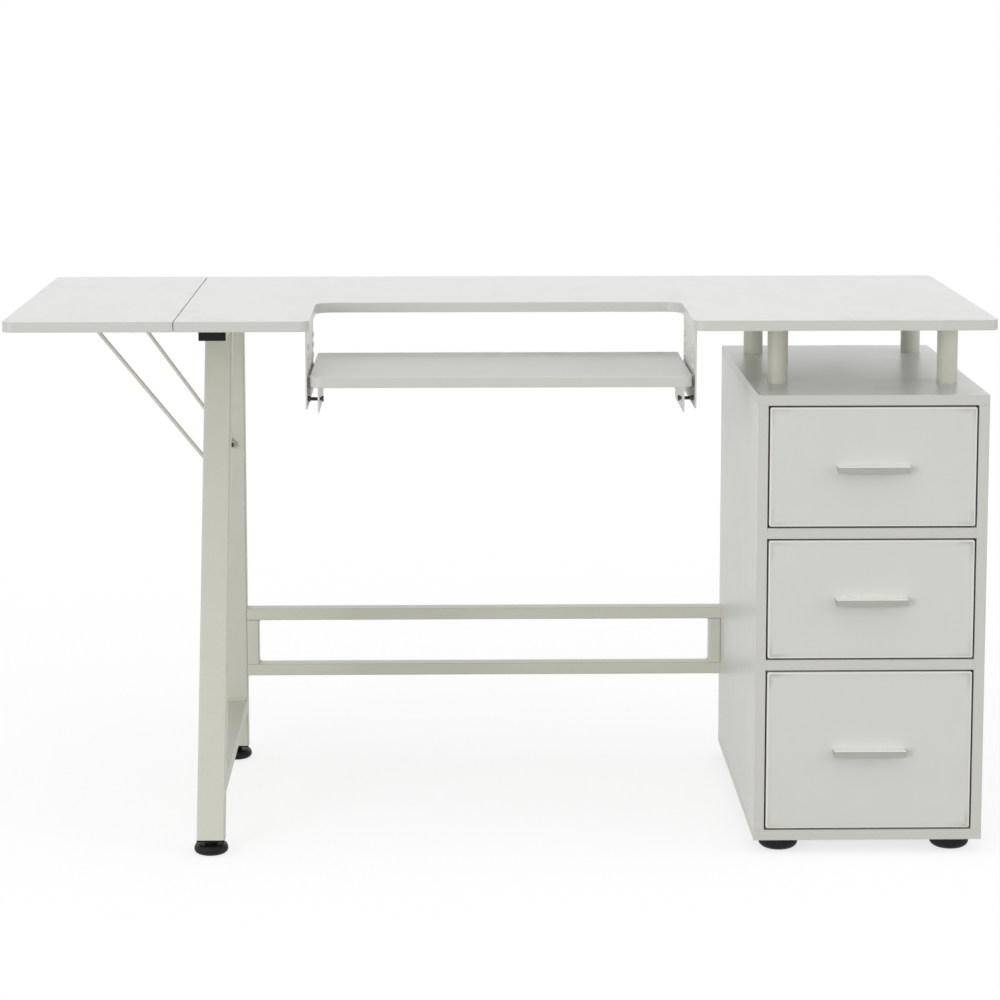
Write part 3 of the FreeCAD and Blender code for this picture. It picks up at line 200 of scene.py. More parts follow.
def melamine_faced_chipboard(name, node=None, rim_highlight_and_brown=False):
    """White melamine faced chipboard, pressed against a pearl finished plate and edged with a glued strip.

    It gives the eye a soft satin white with a faint orange peel, slow drifts of tone, a hairline where
    the edge strip meets the face, and on drawer fronts a painted highlight along the rounded rim and a
    brown tint that gathers inside it at the corners.
    """
    material, tree, place = blank(name)
    drift = add(tree, "ShaderNodeTexNoise", {"Vector": place, "Scale": per(MELAMINE_DRIFT_SIZE),
                                             "Detail": 3.0, "Roughness": 0.55})
    marks = add(tree, "ShaderNodeTexNoise", {"Vector": place, "Scale": per(MELAMINE_MARK_SIZE),
                                             "Detail": 4.0, "Roughness": 0.6})
    pearl = add(tree, "ShaderNodeTexNoise", {"Vector": place, "Scale": per(MELAMINE_PEARL_SIZE),
                                             "Detail": 2.0, "Roughness": 0.5})
    tone = add(tree, "ShaderNodeMix", {FACTOR: drift.outputs["Fac"], COLOUR_A: linear(MELAMINE_WHITE),
                                       COLOUR_B: linear(MELAMINE_SHADE)},
               data_type="RGBA").outputs[COLOUR_OUT]
    if node:
        skin, edge, corner = edge_distances(tree, place, *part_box(node))
        tone = edge_strip(tree, tone, skin, edge)
        # Drawer fronts get a painted highlight along the rim and a brown tint at the corners
        if rim_highlight_and_brown:
            tone = rim_highlight_and_corner_brown(tree, tone, marks.outputs["Fac"], edge, corner)
    smudge = add(tree, "ShaderNodeMapRange", {"Value": marks.outputs["Fac"], "From Min": 0.56,
                                              "From Max": 0.74})
    sheen = add(tree, "ShaderNodeMapRange", {"Value": smudge.outputs[0], "To Min": 0.35, "To Max": 0.45})
    peel = add(tree, "ShaderNodeBump", {"Height": pearl.outputs["Fac"], "Strength": 0.10,
                                        "Distance": MELAMINE_PEARL_DEPTH})
    shader = add(tree, "ShaderNodeBsdfPrincipled", {"Base Color": tone, "Roughness": sheen.outputs[0],
                                                    "IOR": 1.5, "Normal": peel.outputs["Normal"]})
    add(tree, "ShaderNodeOutputMaterial", {"Surface": shader.outputs["BSDF"]})
    return material


POWDER_CREAM = "#DDDDD1"
POWDER_CREAM_SHADE = "#D2D2C5"
POWDER_GREY_WHITE = "#E2E1DB"
POWDER_GREY_WHITE_SHADE = "#D8D7D1"
# Powder grains are about 0.3 mm, drawn at 1.6 mm so that they show
POWDER_GRAIN_SIZE, POWDER_DIMPLE_SIZE, POWDER_DRIFT_SIZE = 1.6, 3.5, 90
POWDER_DIMPLE_DEPTH = 0.3 * MM


def powder_coated_steel(name, pale, shade):
    """Mild steel tube and sheet under a polyester powder, sprayed dry and baked.

    It gives the eye a satin coat with the fine dimpled orange peel of melted powder and a sprinkle of
    slightly darker grains.
    """
    material, tree, place = blank(name)
    grain = add(tree, "ShaderNodeTexNoise", {"Vector": place, "Scale": per(POWDER_GRAIN_SIZE),
                                             "Detail": 2.0, "Roughness": 0.6})
    peel = add(tree, "ShaderNodeTexNoise", {"Vector": place, "Scale": per(POWDER_DIMPLE_SIZE),
                                            "Detail": 2.0, "Roughness": 0.5})
    drift = add(tree, "ShaderNodeTexNoise", {"Vector": place, "Scale": per(POWDER_DRIFT_SIZE), "Detail": 2.0})
    sprinkle = add(tree, "ShaderNodeMapRange", {"Value": grain.outputs["Fac"], "From Min": 0.40,
                                                "From Max": 0.68})
    mottle = add(tree, "ShaderNodeMath", {0: sprinkle.outputs[0], 1: drift.outputs["Fac"]},
                 operation="MULTIPLY")
    tone = add(tree, "ShaderNodeMix", {FACTOR: mottle.outputs[0], COLOUR_A: linear(pale),
                                       COLOUR_B: linear(shade)}, data_type="RGBA")
    gloss = add(tree, "ShaderNodeMapRange", {"Value": grain.outputs["Fac"], "To Min": 0.36, "To Max": 0.50})
    dimple = add(tree, "ShaderNodeBump", {"Height": peel.outputs["Fac"], "Strength": 0.06,
                                          "Distance": POWDER_DIMPLE_DEPTH})
    shader = add(tree, "ShaderNodeBsdfPrincipled", {"Base Color": tone.outputs[COLOUR_OUT],
                                                    "Roughness": gloss.outputs[0], "IOR": 1.5,
                                                    "Normal": dimple.outputs["Normal"]})
    add(tree, "ShaderNodeOutputMaterial", {"Surface": shader.outputs["BSDF"]})
    return material


PLASTIC_BLACK = "#0D0D0C"
PLASTIC_SCUFFED = "#191917"
# Spark pits are about 0.1 mm, drawn at 1.2 mm so that they show
PLASTIC_PIT_SIZE, PLASTIC_SCUFF_SIZE = 1.2, 14
PLASTIC_PIT_DEPTH = 0.2 * MM


def black_moulded_polypropylene():
    """Black polypropylene from a spark eroded mould.

    It gives the eye a near black with a fine matt grain, a broad soft highlight and faint grey scuffs.
    """
    material, tree, place = blank("black_moulded_polypropylene")
    pits = add(tree, "ShaderNodeTexNoise", {"Vector": place, "Scale": per(PLASTIC_PIT_SIZE), "Detail": 2.0})
    scuffs = add(tree, "ShaderNodeTexNoise", {"Vector": place, "Scale": per(PLASTIC_SCUFF_SIZE),
                                              "Detail": 5.0, "Roughness": 0.7})
    worn = add(tree, "ShaderNodeMapRange", {"Value": scuffs.outputs["Fac"], "From Min": 0.5,
                                            "From Max": 0.75})
    tone = add(tree, "ShaderNodeMix", {FACTOR: worn.outputs[0], COLOUR_A: linear(PLASTIC_BLACK),
                                       COLOUR_B: linear(PLASTIC_SCUFFED)}, data_type="RGBA")
    gloss = add(tree, "ShaderNodeMapRange", {"Value": scuffs.outputs["Fac"], "To Min": 0.34, "To Max": 0.50})
    grain = add(tree, "ShaderNodeBump", {"Height": pits.outputs["Fac"], "Strength": 0.12,
                                         "Distance": PLASTIC_PIT_DEPTH})
    shader = add(tree, "ShaderNodeBsdfPrincipled", {"Base Color": tone.outputs[COLOUR_OUT],
                                                    "Roughness": gloss.outputs[0], "IOR": 1.49,
                                                    "Specular IOR Level": 0.25,
                                                    "Normal": grain.outputs["Normal"]})
    add(tree, "ShaderNodeOutputMaterial", {"Surface": shader.outputs["BSDF"]})
    return material


ZINC_BRIGHT = "#C4C6C4"
ZINC_DULL = "#A9ABA6"
# Clouds in the passivated film, and dents from the barrel
ZINC_CLOUD_SIZE, ZINC_DENT_SIZE = 5, 1.5
ZINC_DENT_DEPTH = 0.2 * MM


def zinc_plated_steel():
    """Steel fasteners with a clear passivated zinc plate, tumbled in a barrel.

    It gives the eye a cool bright grey metal with small cloudy patches.
    """
    material, tree, place = blank("zinc_plated_steel")
    cloud = add(tree, "ShaderNodeTexNoise", {"Vector": place, "Scale": per(ZINC_CLOUD_SIZE),
                                             "Detail": 4.0, "Roughness": 0.65})
    dents = add(tree, "ShaderNodeTexNoise", {"Vector": place, "Scale": per(ZINC_DENT_SIZE), "Detail": 1.0})
    tone = add(tree, "ShaderNodeMix", {FACTOR: cloud.outputs["Fac"], COLOUR_A: linear(ZINC_BRIGHT),
                                       COLOUR_B: linear(ZINC_DULL)}, data_type="RGBA")
    gloss = add(tree, "ShaderNodeMapRange", {"Value": cloud.outputs["Fac"], "To Min": 0.22, "To Max": 0.44})
    tumbled = add(tree, "ShaderNodeBump", {"Height": dents.outputs["Fac"], "Strength": 0.12,
                                           "Distance": ZINC_DENT_DEPTH})
    shader = add(tree, "ShaderNodeBsdfPrincipled", {"Base Color": tone.outputs[COLOUR_OUT], "Metallic": 1.0,
                                                    "Roughness": gloss.outputs[0],
                                                    "Normal": tumbled.outputs["Normal"]})
    add(tree, "ShaderNodeOutputMaterial", {"Surface": shader.outputs["BSDF"]})
    return material


BLACK_ZINC = "#4C4842"
BLACK_ZINC_RUBBED = "#7A756B"
BLACK_ZINC_RUB_SIZE = 3
BLACK_ZINC_RUB_DEPTH = 0.1 * MM


def black_zinc_plated_steel():
    """The struts' studs and the shelf's bolts, nuts and screws, zinc plated and blackened in a chromate bath.

    It gives the eye a brown black metal that shines grey where the plating is rubbed.
    """
    material, tree, place = blank("black_zinc_plated_steel")
    rub = add(tree, "ShaderNodeTexNoise", {"Vector": place, "Scale": per(BLACK_ZINC_RUB_SIZE),
                                           "Detail": 4.0, "Roughness": 0.65})
    bare = add(tree, "ShaderNodeMapRange", {"Value": rub.outputs["Fac"], "From Min": 0.5, "From Max": 0.75})
    tone = add(tree, "ShaderNodeMix", {FACTOR: bare.outputs[0], COLOUR_A: linear(BLACK_ZINC),
                                       COLOUR_B: linear(BLACK_ZINC_RUBBED)}, data_type="RGBA")
    gloss = add(tree, "ShaderNodeMapRange", {"Value": rub.outputs["Fac"], "To Min": 0.40, "To Max": 0.26})
    dents = add(tree, "ShaderNodeBump", {"Height": rub.outputs["Fac"], "Strength": 0.1,
                                         "Distance": BLACK_ZINC_RUB_DEPTH})
    shader = add(tree, "ShaderNodeBsdfPrincipled", {"Base Color": tone.outputs[COLOUR_OUT], "Metallic": 1.0,
                                                    "Roughness": gloss.outputs[0],
                                                    "Normal": dents.outputs["Normal"]})
    add(tree, "ShaderNodeOutputMaterial", {"Surface": shader.outputs["BSDF"]})
    return material


ALUMINIUM_PALE = "#B4B7AF"
ALUMINIUM_STREAK = "#A1A49B"
# Pale white painted on the pull's top as a painted highlight
ALUMINIUM_TOP_HIGHLIGHT = "#F0F1EC"
# Brush lines are about 0.1 mm apart and 30 mm long, drawn 0.7 mm apart so that they show
BRUSH_LENGTH, BRUSH_SPACING = 30, 0.7
BRUSH_DEPTH = 0.1 * MM
# How far below the pull's top the painted highlight starts, and where it is full
TOP_HIGHLIGHT_START, TOP_HIGHLIGHT_FULL = 1.0 * MM, 0.3 * MM


def satin_anodised_aluminium(pull):
    """An extruded aluminium pull, brushed along its length and anodised.

    It gives the eye a soft grey metal with fine streaks along the pull, a blurred highlight, and a
    painted highlight in pale colour along its top, which is also rougher.
    """
    material, tree, place = blank("satin_anodised_aluminium_" + pull)
    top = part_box(pull)[1][2]
    along = add(tree, "ShaderNodeMapping", {"Vector": place, "Scale": (per(BRUSH_LENGTH), per(BRUSH_SPACING),
                                                                       per(BRUSH_SPACING))})
    brush = add(tree, "ShaderNodeTexNoise", {"Vector": along.outputs["Vector"], "Scale": 1.0, "Detail": 3.0})
    height = add(tree, "ShaderNodeSeparateXYZ", {"Vector": place}).outputs["Z"]
    # Painted highlight: the top millimetre of the pull is painted pale and made rougher
    rubbed = add(tree, "ShaderNodeMapRange", {"Value": height, "From Min": top - TOP_HIGHLIGHT_START,
                                              "From Max": top - TOP_HIGHLIGHT_FULL})
    tone = add(tree, "ShaderNodeMix", {FACTOR: brush.outputs["Fac"], COLOUR_A: linear(ALUMINIUM_PALE),
                                       COLOUR_B: linear(ALUMINIUM_STREAK)}, data_type="RGBA")
    tone = add(tree, "ShaderNodeMix", {FACTOR: rubbed.outputs[0], COLOUR_A: tone.outputs[COLOUR_OUT],
                                       COLOUR_B: linear(ALUMINIUM_TOP_HIGHLIGHT)}, data_type="RGBA")
    streaked = add(tree, "ShaderNodeMapRange", {"Value": brush.outputs["Fac"], "To Min": 0.30,
                                                "To Max": 0.46})
    gloss = add(tree, "ShaderNodeMapRange", {"Value": rubbed.outputs[0], "To Min": streaked.outputs[0],
                                             "To Max": 0.62})
    lines = add(tree, "ShaderNodeBump", {"Height": brush.outputs["Fac"], "Strength": 0.10,
                                         "Distance": BRUSH_DEPTH})
    shader = add(tree, "ShaderNodeBsdfPrincipled", {"Base Color": tone.outputs[COLOUR_OUT], "Metallic": 1.0,
                                                    "Roughness": gloss.outputs[0],
                                                    "Normal": lines.outputs["Normal"]})
    add(tree, "ShaderNodeOutputMaterial", {"Surface": shader.outputs["BSDF"]})
    return material


HARDBOARD_WHITE = "#DEDDD6"
HARDBOARD_FIBRE = "#CFCCC0"
HARDBOARD_DRIFT_SIZE = 110
# Fibres are about 3 mm long and 0.2 mm wide, drawn 9 mm by 1.5 mm so that they show
FIBRE_LENGTH, FIBRE_WIDTH = 9, 1.5
FIBRE_DEPTH = 0.2 * MM


def lacquered_hardboard():
    """Thin hardboard with a white lacquered face, rolled on over pressed wood fibre.

    It gives the eye a flat off-white with short fibre flecks and a dull, slightly uneven sheen.
    """
    material, tree, place = blank("lacquered_hardboard")
    lie = add(tree, "ShaderNodeMapping", {"Vector": place, "Scale": (per(FIBRE_WIDTH), per(FIBRE_LENGTH),
                                                                     per(FIBRE_LENGTH))})
    fibre = add(tree, "ShaderNodeTexNoise", {"Vector": lie.outputs["Vector"], "Scale": 1.0, "Detail": 3.0,
                                             "Distortion": 0.6})
    drift = add(tree, "ShaderNodeTexNoise", {"Vector": place, "Scale": per(HARDBOARD_DRIFT_SIZE),
                                             "Detail": 2.0})
    fleck = add(tree, "ShaderNodeMapRange", {"Value": fibre.outputs["Fac"], "From Min": 0.52,
                                             "From Max": 0.78})
    tone = add(tree, "ShaderNodeMix", {FACTOR: fleck.outputs[0], COLOUR_A: linear(HARDBOARD_WHITE),
                                       COLOUR_B: linear(HARDBOARD_FIBRE)}, data_type="RGBA")
    gloss = add(tree, "ShaderNodeMapRange", {"Value": drift.outputs["Fac"], "To Min": 0.52, "To Max": 0.66})
    nap = add(tree, "ShaderNodeBump", {"Height": fibre.outputs["Fac"], "Strength": 0.15,
                                       "Distance": FIBRE_DEPTH})
    shader = add(tree, "ShaderNodeBsdfPrincipled", {"Base Color": tone.outputs[COLOUR_OUT],
                                                    "Roughness": gloss.outputs[0], "IOR": 1.5,
                                                    "Normal": nap.outputs["Normal"]})
    add(tree, "ShaderNodeOutputMaterial", {"Surface": shader.outputs["BSDF"]})
    return material


BEECH_PALE = "#D3B48C"
BEECH_DARK = "#B98F62"
# Rays are about 3 mm long and 0.5 mm wide, drawn 8 mm by 1 mm so that they show, along the dividers' dowels
RAY_LENGTH, RAY_WIDTH = 8, 1.0
RAY_DEPTH = 0.2 * MM


def turned_beech():
    """Beech dowels, turned and left bare.

    It gives the eye a pale tan wood with short dark rays and fine grain.
    """
    material, tree, place = blank("turned_beech")
    lie = add(tree, "ShaderNodeMapping", {"Vector": place, "Scale": (per(RAY_LENGTH), per(RAY_WIDTH),
                                                                     per(RAY_WIDTH))})
    grain = add(tree, "ShaderNodeTexNoise", {"Vector": lie.outputs["Vector"], "Scale": 1.0, "Detail": 4.0})
    tone = add(tree, "ShaderNodeMix", {FACTOR: grain.outputs["Fac"], COLOUR_A: linear(BEECH_PALE),
                                       COLOUR_B: linear(BEECH_DARK)}, data_type="RGBA")
    gloss = add(tree, "ShaderNodeMapRange", {"Value": grain.outputs["Fac"], "To Min": 0.55, "To Max": 0.75})
    rays = add(tree, "ShaderNodeBump", {"Height": grain.outputs["Fac"], "Strength": 0.2,
                                        "Distance": RAY_DEPTH})
    shader = add(tree, "ShaderNodeBsdfPrincipled", {"Base Color": tone.outputs[COLOUR_OUT],
                                                    "Roughness": gloss.outputs[0], "IOR": 1.5,
                                                    "Normal": rays.outputs["Normal"]})
    add(tree, "ShaderNodeOutputMaterial", {"Surface": shader.outputs["BSDF"]})
    return material


RUNNER_WHITE = "#D9D8D0"
RUNNER_RUBBED = "#BFBEB6"
# Draw lines are about 0.3 mm apart, drawn 1 mm apart so that they show
DRAW_LINE_LENGTH, DRAW_LINE_SPACING = 120, 1
DRAW_LINE_DEPTH = 0.1 * MM


def extruded_nylon_runner():
    """Off-white nylon runner strips, extruded along their length.

    It gives the eye a waxy white with faint draw lines and a grey rub where the drawers slide.
    """
    material, tree, place = blank("extruded_nylon_runner")
    along = add(tree, "ShaderNodeMapping", {"Vector": place, "Scale": (per(DRAW_LINE_SPACING),
                                                                       per(DRAW_LINE_LENGTH),
                                                                       per(DRAW_LINE_SPACING))})
    draw = add(tree, "ShaderNodeTexNoise", {"Vector": along.outputs["Vector"], "Scale": 1.0, "Detail": 2.0})
    rub = add(tree, "ShaderNodeMapRange", {"Value": draw.outputs["Fac"], "From Min": 0.5, "From Max": 0.8})
    tone = add(tree, "ShaderNodeMix", {FACTOR: rub.outputs[0], COLOUR_A: linear(RUNNER_WHITE),
                                       COLOUR_B: linear(RUNNER_RUBBED)}, data_type="RGBA")
    gloss = add(tree, "ShaderNodeMapRange", {"Value": draw.outputs["Fac"], "To Min": 0.30, "To Max": 0.45})
    lines = add(tree, "ShaderNodeBump", {"Height": draw.outputs["Fac"], "Strength": 0.1,
                                         "Distance": DRAW_LINE_DEPTH})
    shader = add(tree, "ShaderNodeBsdfPrincipled", {"Base Color": tone.outputs[COLOUR_OUT],
                                                    "Roughness": gloss.outputs[0], "IOR": 1.53,
                                                    "Normal": lines.outputs["Normal"]})
    add(tree, "ShaderNodeOutputMaterial", {"Surface": shader.outputs["BSDF"]})
    return material


def finish_node(node, material):
    """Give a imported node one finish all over."""
    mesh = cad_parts[node].data
    mesh.materials.clear()
    mesh.materials.append(material)


cream_steel = powder_coated_steel("cream_powder_coated_steel", POWDER_CREAM, POWDER_CREAM_SHADE)
grey_white_steel = powder_coated_steel("grey_white_powder_coated_steel", POWDER_GREY_WHITE,
                                       POWDER_GREY_WHITE_SHADE)
black_plastic = black_moulded_polypropylene()
zinc = zinc_plated_steel()
black_zinc = black_zinc_plated_steel()
hardboard = lacquered_hardboard()
beech = turned_beech()
runner_nylon = extruded_nylon_runner()
inner_board = melamine_faced_chipboard("melamine_faced_chipboard")

DRAWERS = ("top_drawer", "middle_drawer", "bottom_drawer")
EDGED_BOARDS = ("main_top", "drop_leaf", "shelf_board", "cabinet_top", "cabinet_bottom", "cabinet_left_side",
                "cabinet_right_side", "upper_divider", "lower_divider")
SHARED_FINISHES = (
    (cream_steel, ("top_rail", "front_leg", "rear_leg", "bottom_rail", "stretcher_rails",
                   "stretcher_uprights", "top_posts", "front_strut", "rear_strut")),
    (grey_white_steel, ("left_bracket", "right_bracket", "shelf_hangers")),
    (black_plastic, ("rail_caps", "leg_plugs", "cabinet_feet", "front_glide", "rear_glide",
                     "strut_keepers")),
    (zinc, ("hinge_plates_fixed", "hinge_plates_moving", "hinge_pins", "top_screws", "leaf_screws",
            "stretcher_bolts", "post_bolts")),
    (black_zinc, ("strut_studs", "shelf_bolts", "shelf_nuts", "shelf_screws")),
    (hardboard, ("cabinet_back",)),
    (beech, ("cabinet_dowels",)),
    (runner_nylon, ("drawer_runners",)),
)

for board in EDGED_BOARDS:
    finish_node(board, melamine_faced_chipboard("edged_chipboard_" + board, board))
for drawer in DRAWERS:
    front = drawer + "_front"
    # Each drawer front gets the painted rim highlight and the brown corner tint
    finish_node(front, melamine_faced_chipboard("rim_highlight_chipboard_" + front, front, rim_highlight_and_brown=True))
    finish_node(drawer + "_sides", inner_board)
    finish_node(drawer + "_back", inner_board)
    finish_node(drawer + "_bottom", hardboard)
    finish_node(drawer + "_pull", satin_anodised_aluminium(drawer + "_pull"))
    finish_node(drawer + "_pull_screws", zinc)
for material, nodes in SHARED_FINISHES:
    for node in nodes:
        finish_node(node, material)


def make_piece(name, points, faces, material, body, slot):
    """One mesh from whole arrays of points and faces, in place, that rides on a body of the table."""
    mesh = bpy.data.meshes.new(name)
    mesh.from_pydata(points.tolist(), [], faces)
    mesh.polygons.foreach_set("use_smooth", np.ones(len(mesh.polygons), bool))
    mesh.materials.append(material)
    piece = bpy.data.objects.new(name, mesh)
    bpy.context.scene.collection.objects.link(piece)
    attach(piece, body)


def corners(node):
    """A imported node's lowest and highest corner, in millimetres."""
    return [np.array(corner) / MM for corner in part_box(node)]


def ring_faces(rings, around, joined=False):
    """Quads between closed rings of points that follow one another.

    The last ring is joined to the first, round a hole, which turns the quads the other way about, or
    else each end gets a cap.
    """
    ring, step = np.meshgrid(np.arange(rings if joined else rings - 1), np.arange(around), indexing="ij")
    after, following = (step + 1) % around, (ring + 1) % rings
    quads = np.stack([ring * around + step, ring * around + after,
                      following * around + after, following * around + step], axis=-1).reshape(-1, 4)
    if joined:
        return quads[:, ::-1].tolist()
    first = np.arange(around)[::-1]
    last = np.arange(around) + (rings - 1) * around
    return quads.tolist() + [first.tolist(), last.tolist()]


def gather(shapes):
    """Several shapes as one list of points and faces, each shape's faces counted on from the last."""
    points, faces, count = [], [], 0
    for shape_points, shape_faces in shapes:
        points.append(shape_points)
        faces += [[corner + count for corner in face] for face in shape_faces]
        count += len(shape_points)
    return np.vstack(points), faces


def spokes(axis, steps):
    """The angles of one turn round an axis, and at each a direction of length one, square to the axis."""
    upright = abs(axis[2]) == max(abs(axis))
    side = np.cross(axis, (1, 0, 0) if upright else (0, 0, 1))
    side /= np.linalg.norm(side)
    turn = np.linspace(0, 2 * math.pi, steps, endpoint=False)
    return turn, np.cos(turn)[:, None] * side + np.sin(turn)[:, None] * np.cross(axis, side)


WELD_RIPPLE = 2.4
WELD_STEPS_PER_RIPPLE = 6
WELD_RIPPLE_SHARE = 0.12
WELD_ROUND_END = 3.0
WELD_TIP_SHARE = 0.08
WELD_SINK = 0.25
WELD_ARC_POINTS = 9


def weld_bead(start, end, across, up, leg):
    """A fillet weld along the line where two tubes meet, in millimetres.

    The section is a quarter round between the two faces, sunk a little into both. It is carried along
    the line while its leg swells once per ripple, where the weld pool froze, and rounds off at each end.
    The line runs the way that leaves the faces looking outwards.
    """
    start, end, across, up = (np.array(v, float) for v in (start, end, across, up))
    if np.dot(np.cross(across, up), end - start) < 0:
        start, end = end, start
    length = np.linalg.norm(end - start)
    along = np.linspace(0, length, int(length / WELD_RIPPLE * WELD_STEPS_PER_RIPPLE) + 2)
    near_end = np.clip(np.minimum(along, length - along) / WELD_ROUND_END, 0, 1)
    rounded = np.sqrt(1 - (1 - near_end) ** 2) * (1 - WELD_TIP_SHARE) + WELD_TIP_SHARE
    ripple = np.abs(np.sin(math.pi * along / WELD_RIPPLE))
    swell = leg * rounded * (1 - WELD_RIPPLE_SHARE + WELD_RIPPLE_SHARE * ripple)
    angle = np.linspace(0, math.pi / 2, WELD_ARC_POINTS)
    side = swell[:, None] * np.cos(angle)[None, :] - WELD_SINK * (angle > math.pi / 4)
    rise = swell[:, None] * np.sin(angle)[None, :] - WELD_SINK * (angle < math.pi / 4)
    root = np.full((len(along), 1), -WELD_SINK)
    side, rise = np.hstack([side, root]), np.hstack([rise, root])
    line = start + (end - start) * (along / length)[:, None]
    points = line[:, None, :] + side[..., None] * across + rise[..., None] * up
    return points.reshape(-1, 3) * MM, ring_faces(len(along), WELD_ARC_POINTS + 1)


def turned_round(outline, centre, axis, steps):
    """A closed outline of radius and height, carried round an axis through a centre, in millimetres.

    A point is the centre, plus its height along the axis, plus its radius along a direction that turns.
    """
    outline, centre, axis = (np.array(v, float) for v in (outline, centre, axis))
    spoke = spokes(axis, steps)[1]
    points = centre + outline[None, :, 1, None] * axis + outline[None, :, 0, None] * spoke[:, None, :]
    return points.reshape(-1, 3) * MM, ring_faces(steps, len(outline), joined=True)


RIB_STEPS = 6
RIB_SINK = 0.4


def ribbed_band(profile, centre, ribs, depth):
    """A moulded band of grip ribs round a foot, in millimetres.

    The profile gives the foot's radius and height up its side. Round the foot the radius grows by the
    depth times a raised cosine, one wave per rib, faded out towards the band's two ends. A second wall,
    sunk below the profile, closes the band.
    """
    profile, centre = np.array(profile, float), np.array(centre, float)
    turn = np.linspace(0, 2 * math.pi, ribs * RIB_STEPS, endpoint=False)
    fade = np.sqrt(np.sin(np.linspace(0, math.pi, len(profile))))
    wave = (1 + np.cos(ribs * turn)) / 2
    outer = profile[None, :, 0] + depth * fade[None, :] * wave[:, None]
    inner = np.tile(profile[::-1, 0] - RIB_SINK, (len(turn), 1))
    radius = np.hstack([outer, inner])
    height = np.concatenate([profile[:, 1], profile[::-1, 1]])
    points = np.stack([radius * np.cos(turn)[:, None], radius * np.sin(turn)[:, None],
                       np.tile(height, (len(turn), 1))], axis=-1) + centre
    return points.reshape(-1, 3) * MM, ring_faces(len(turn), len(height), joined=True)


THREAD_STEPS = 20
THREAD_ROWS_PER_PITCH = 8


def screw_thread(start, axis, length, radius, depth, pitch):
    """A threaded length of a bolt, in millimetres.

    The radius falls and rises in a straight V along the bolt, once per pitch, and the V is carried
    round by one pitch in each turn. Both ends taper into the plain shank.
    """
    start, axis = np.array(start, float), np.array(axis, float)
    turn, spoke = spokes(axis, THREAD_STEPS)
    along = np.linspace(0, length, int(length / pitch * THREAD_ROWS_PER_PITCH) + 1)
    phase = (along[:, None] / pitch - turn[None, :] / (2 * math.pi)) % 1
    fade = np.clip(np.minimum(along, length - along) / pitch, 0, 1)[:, None]
    reach = radius - depth + depth * np.abs(1 - 2 * phase) * fade
    points = start + along[:, None, None] * axis + reach[..., None] * spoke[None, :, :]
    return points.reshape(-1, 3) * MM, ring_faces(len(along), THREAD_STEPS)


# Welds of the leg frame and the stretcher, along the lines where the tubes meet, in millimetres
TO_LEFT, TO_RIGHT = (-1, 0, 0), (1, 0, 0)
TO_FRONT, TO_BACK = (0, -1, 0), (0, 1, 0)
DOWNWARD, UPWARD = (0, 0, -1), (0, 0, 1)
# A bead stops this far short of the tube's corners
WELD_INSET = 2.5
FRAME_WELD_LEG = 3.4
# The slanted front leg's depth, measured level
FRONT_LEG_DEPTH = 32.0
leg_low, leg_high = corners("front_leg")
rail_low, rail_high = corners("bottom_rail")
rear_leg_face = corners("rear_leg")[0][1]
under_top_rail = corners("top_rail")[0][2]
slant = np.array([0, leg_high[1] - leg_low[1] - FRONT_LEG_DEPTH, leg_high[2] - leg_low[2]])
up_leg = slant / np.linalg.norm(slant)


def behind_front_leg(height):
    """How far back the front leg's rear face is at a height: its top end, less the slant's share below it."""
    return leg_high[1] - (leg_high[2] - height) * slant[1] / slant[2]


frame_weld_lines = (
    # depth, height, way along the rail, way along the leg
    (rear_leg_face, rail_high[2], TO_FRONT, UPWARD),
    (rear_leg_face, rail_low[2], TO_FRONT, DOWNWARD),
    (behind_front_leg(rail_high[2]), rail_high[2], TO_BACK, up_leg),
    (behind_front_leg(rail_low[2]), rail_low[2], TO_BACK, -up_leg),
    (leg_high[1] - FRONT_LEG_DEPTH, under_top_rail, TO_FRONT, -up_leg),
    (leg_high[1], under_top_rail, TO_BACK, -up_leg),
    (rear_leg_face, under_top_rail, TO_FRONT, DOWNWARD),
)
weld_left, weld_right = leg_low[0] + WELD_INSET, leg_high[0] - WELD_INSET
leg_welds = [weld_bead((weld_left, y, z), (weld_right, y, z), rail, leg, FRAME_WELD_LEG)
             for y, z, rail, leg in frame_weld_lines]
make_piece("leg_frame_welds", *gather(leg_welds), cream_steel, "frame", "powder_coated_steel")

STRETCHER_WELD_LEG = 3.0
long_rails_low, long_rails_high = corners("stretcher_rails")
uprights_low, uprights_high = corners("stretcher_uprights")
stretcher_tube = long_rails_high[2] - uprights_high[2]
weld_front, weld_back = long_rails_low[1] + WELD_INSET, long_rails_high[1] - WELD_INSET
upright_faces = ((uprights_low[0] + stretcher_tube, TO_RIGHT), (uprights_high[0] - stretcher_tube, TO_LEFT))
upright_ends = ((uprights_low[2], UPWARD), (uprights_high[2], DOWNWARD))
stretcher_welds = [weld_bead((x, weld_front, z), (x, weld_back, z), rail, upright, STRETCHER_WELD_LEG)
                   for x, rail in upright_faces for z, upright in upright_ends]
make_piece("stretcher_welds", *gather(stretcher_welds), cream_steel, "frame", "powder_coated_steel")

# Raised collars that were drawn out of the brackets' sheet round their holes, as radius and height
BRACKET_HOLE_INSET, BRACKET_HOLE_RISE, BRACKET_HOLE_PITCH = 33.0, 11.0, 15.0
COLLARS_PER_LINE = 5
COLLAR_OUTLINE = ((4.5, -0.3), (4.0, 0.5), (3.8, 1.8), (3.5, 2.2), (2.9, 2.2), (2.5, 1.8), (2.5, -0.3))
COLLAR_STEPS = 24
bracket_low, bracket_high = corners("right_bracket")
bracket_face = bracket_low[0]
hole_lines = (bracket_low[1] + BRACKET_HOLE_INSET, bracket_high[1] - BRACKET_HOLE_INSET)
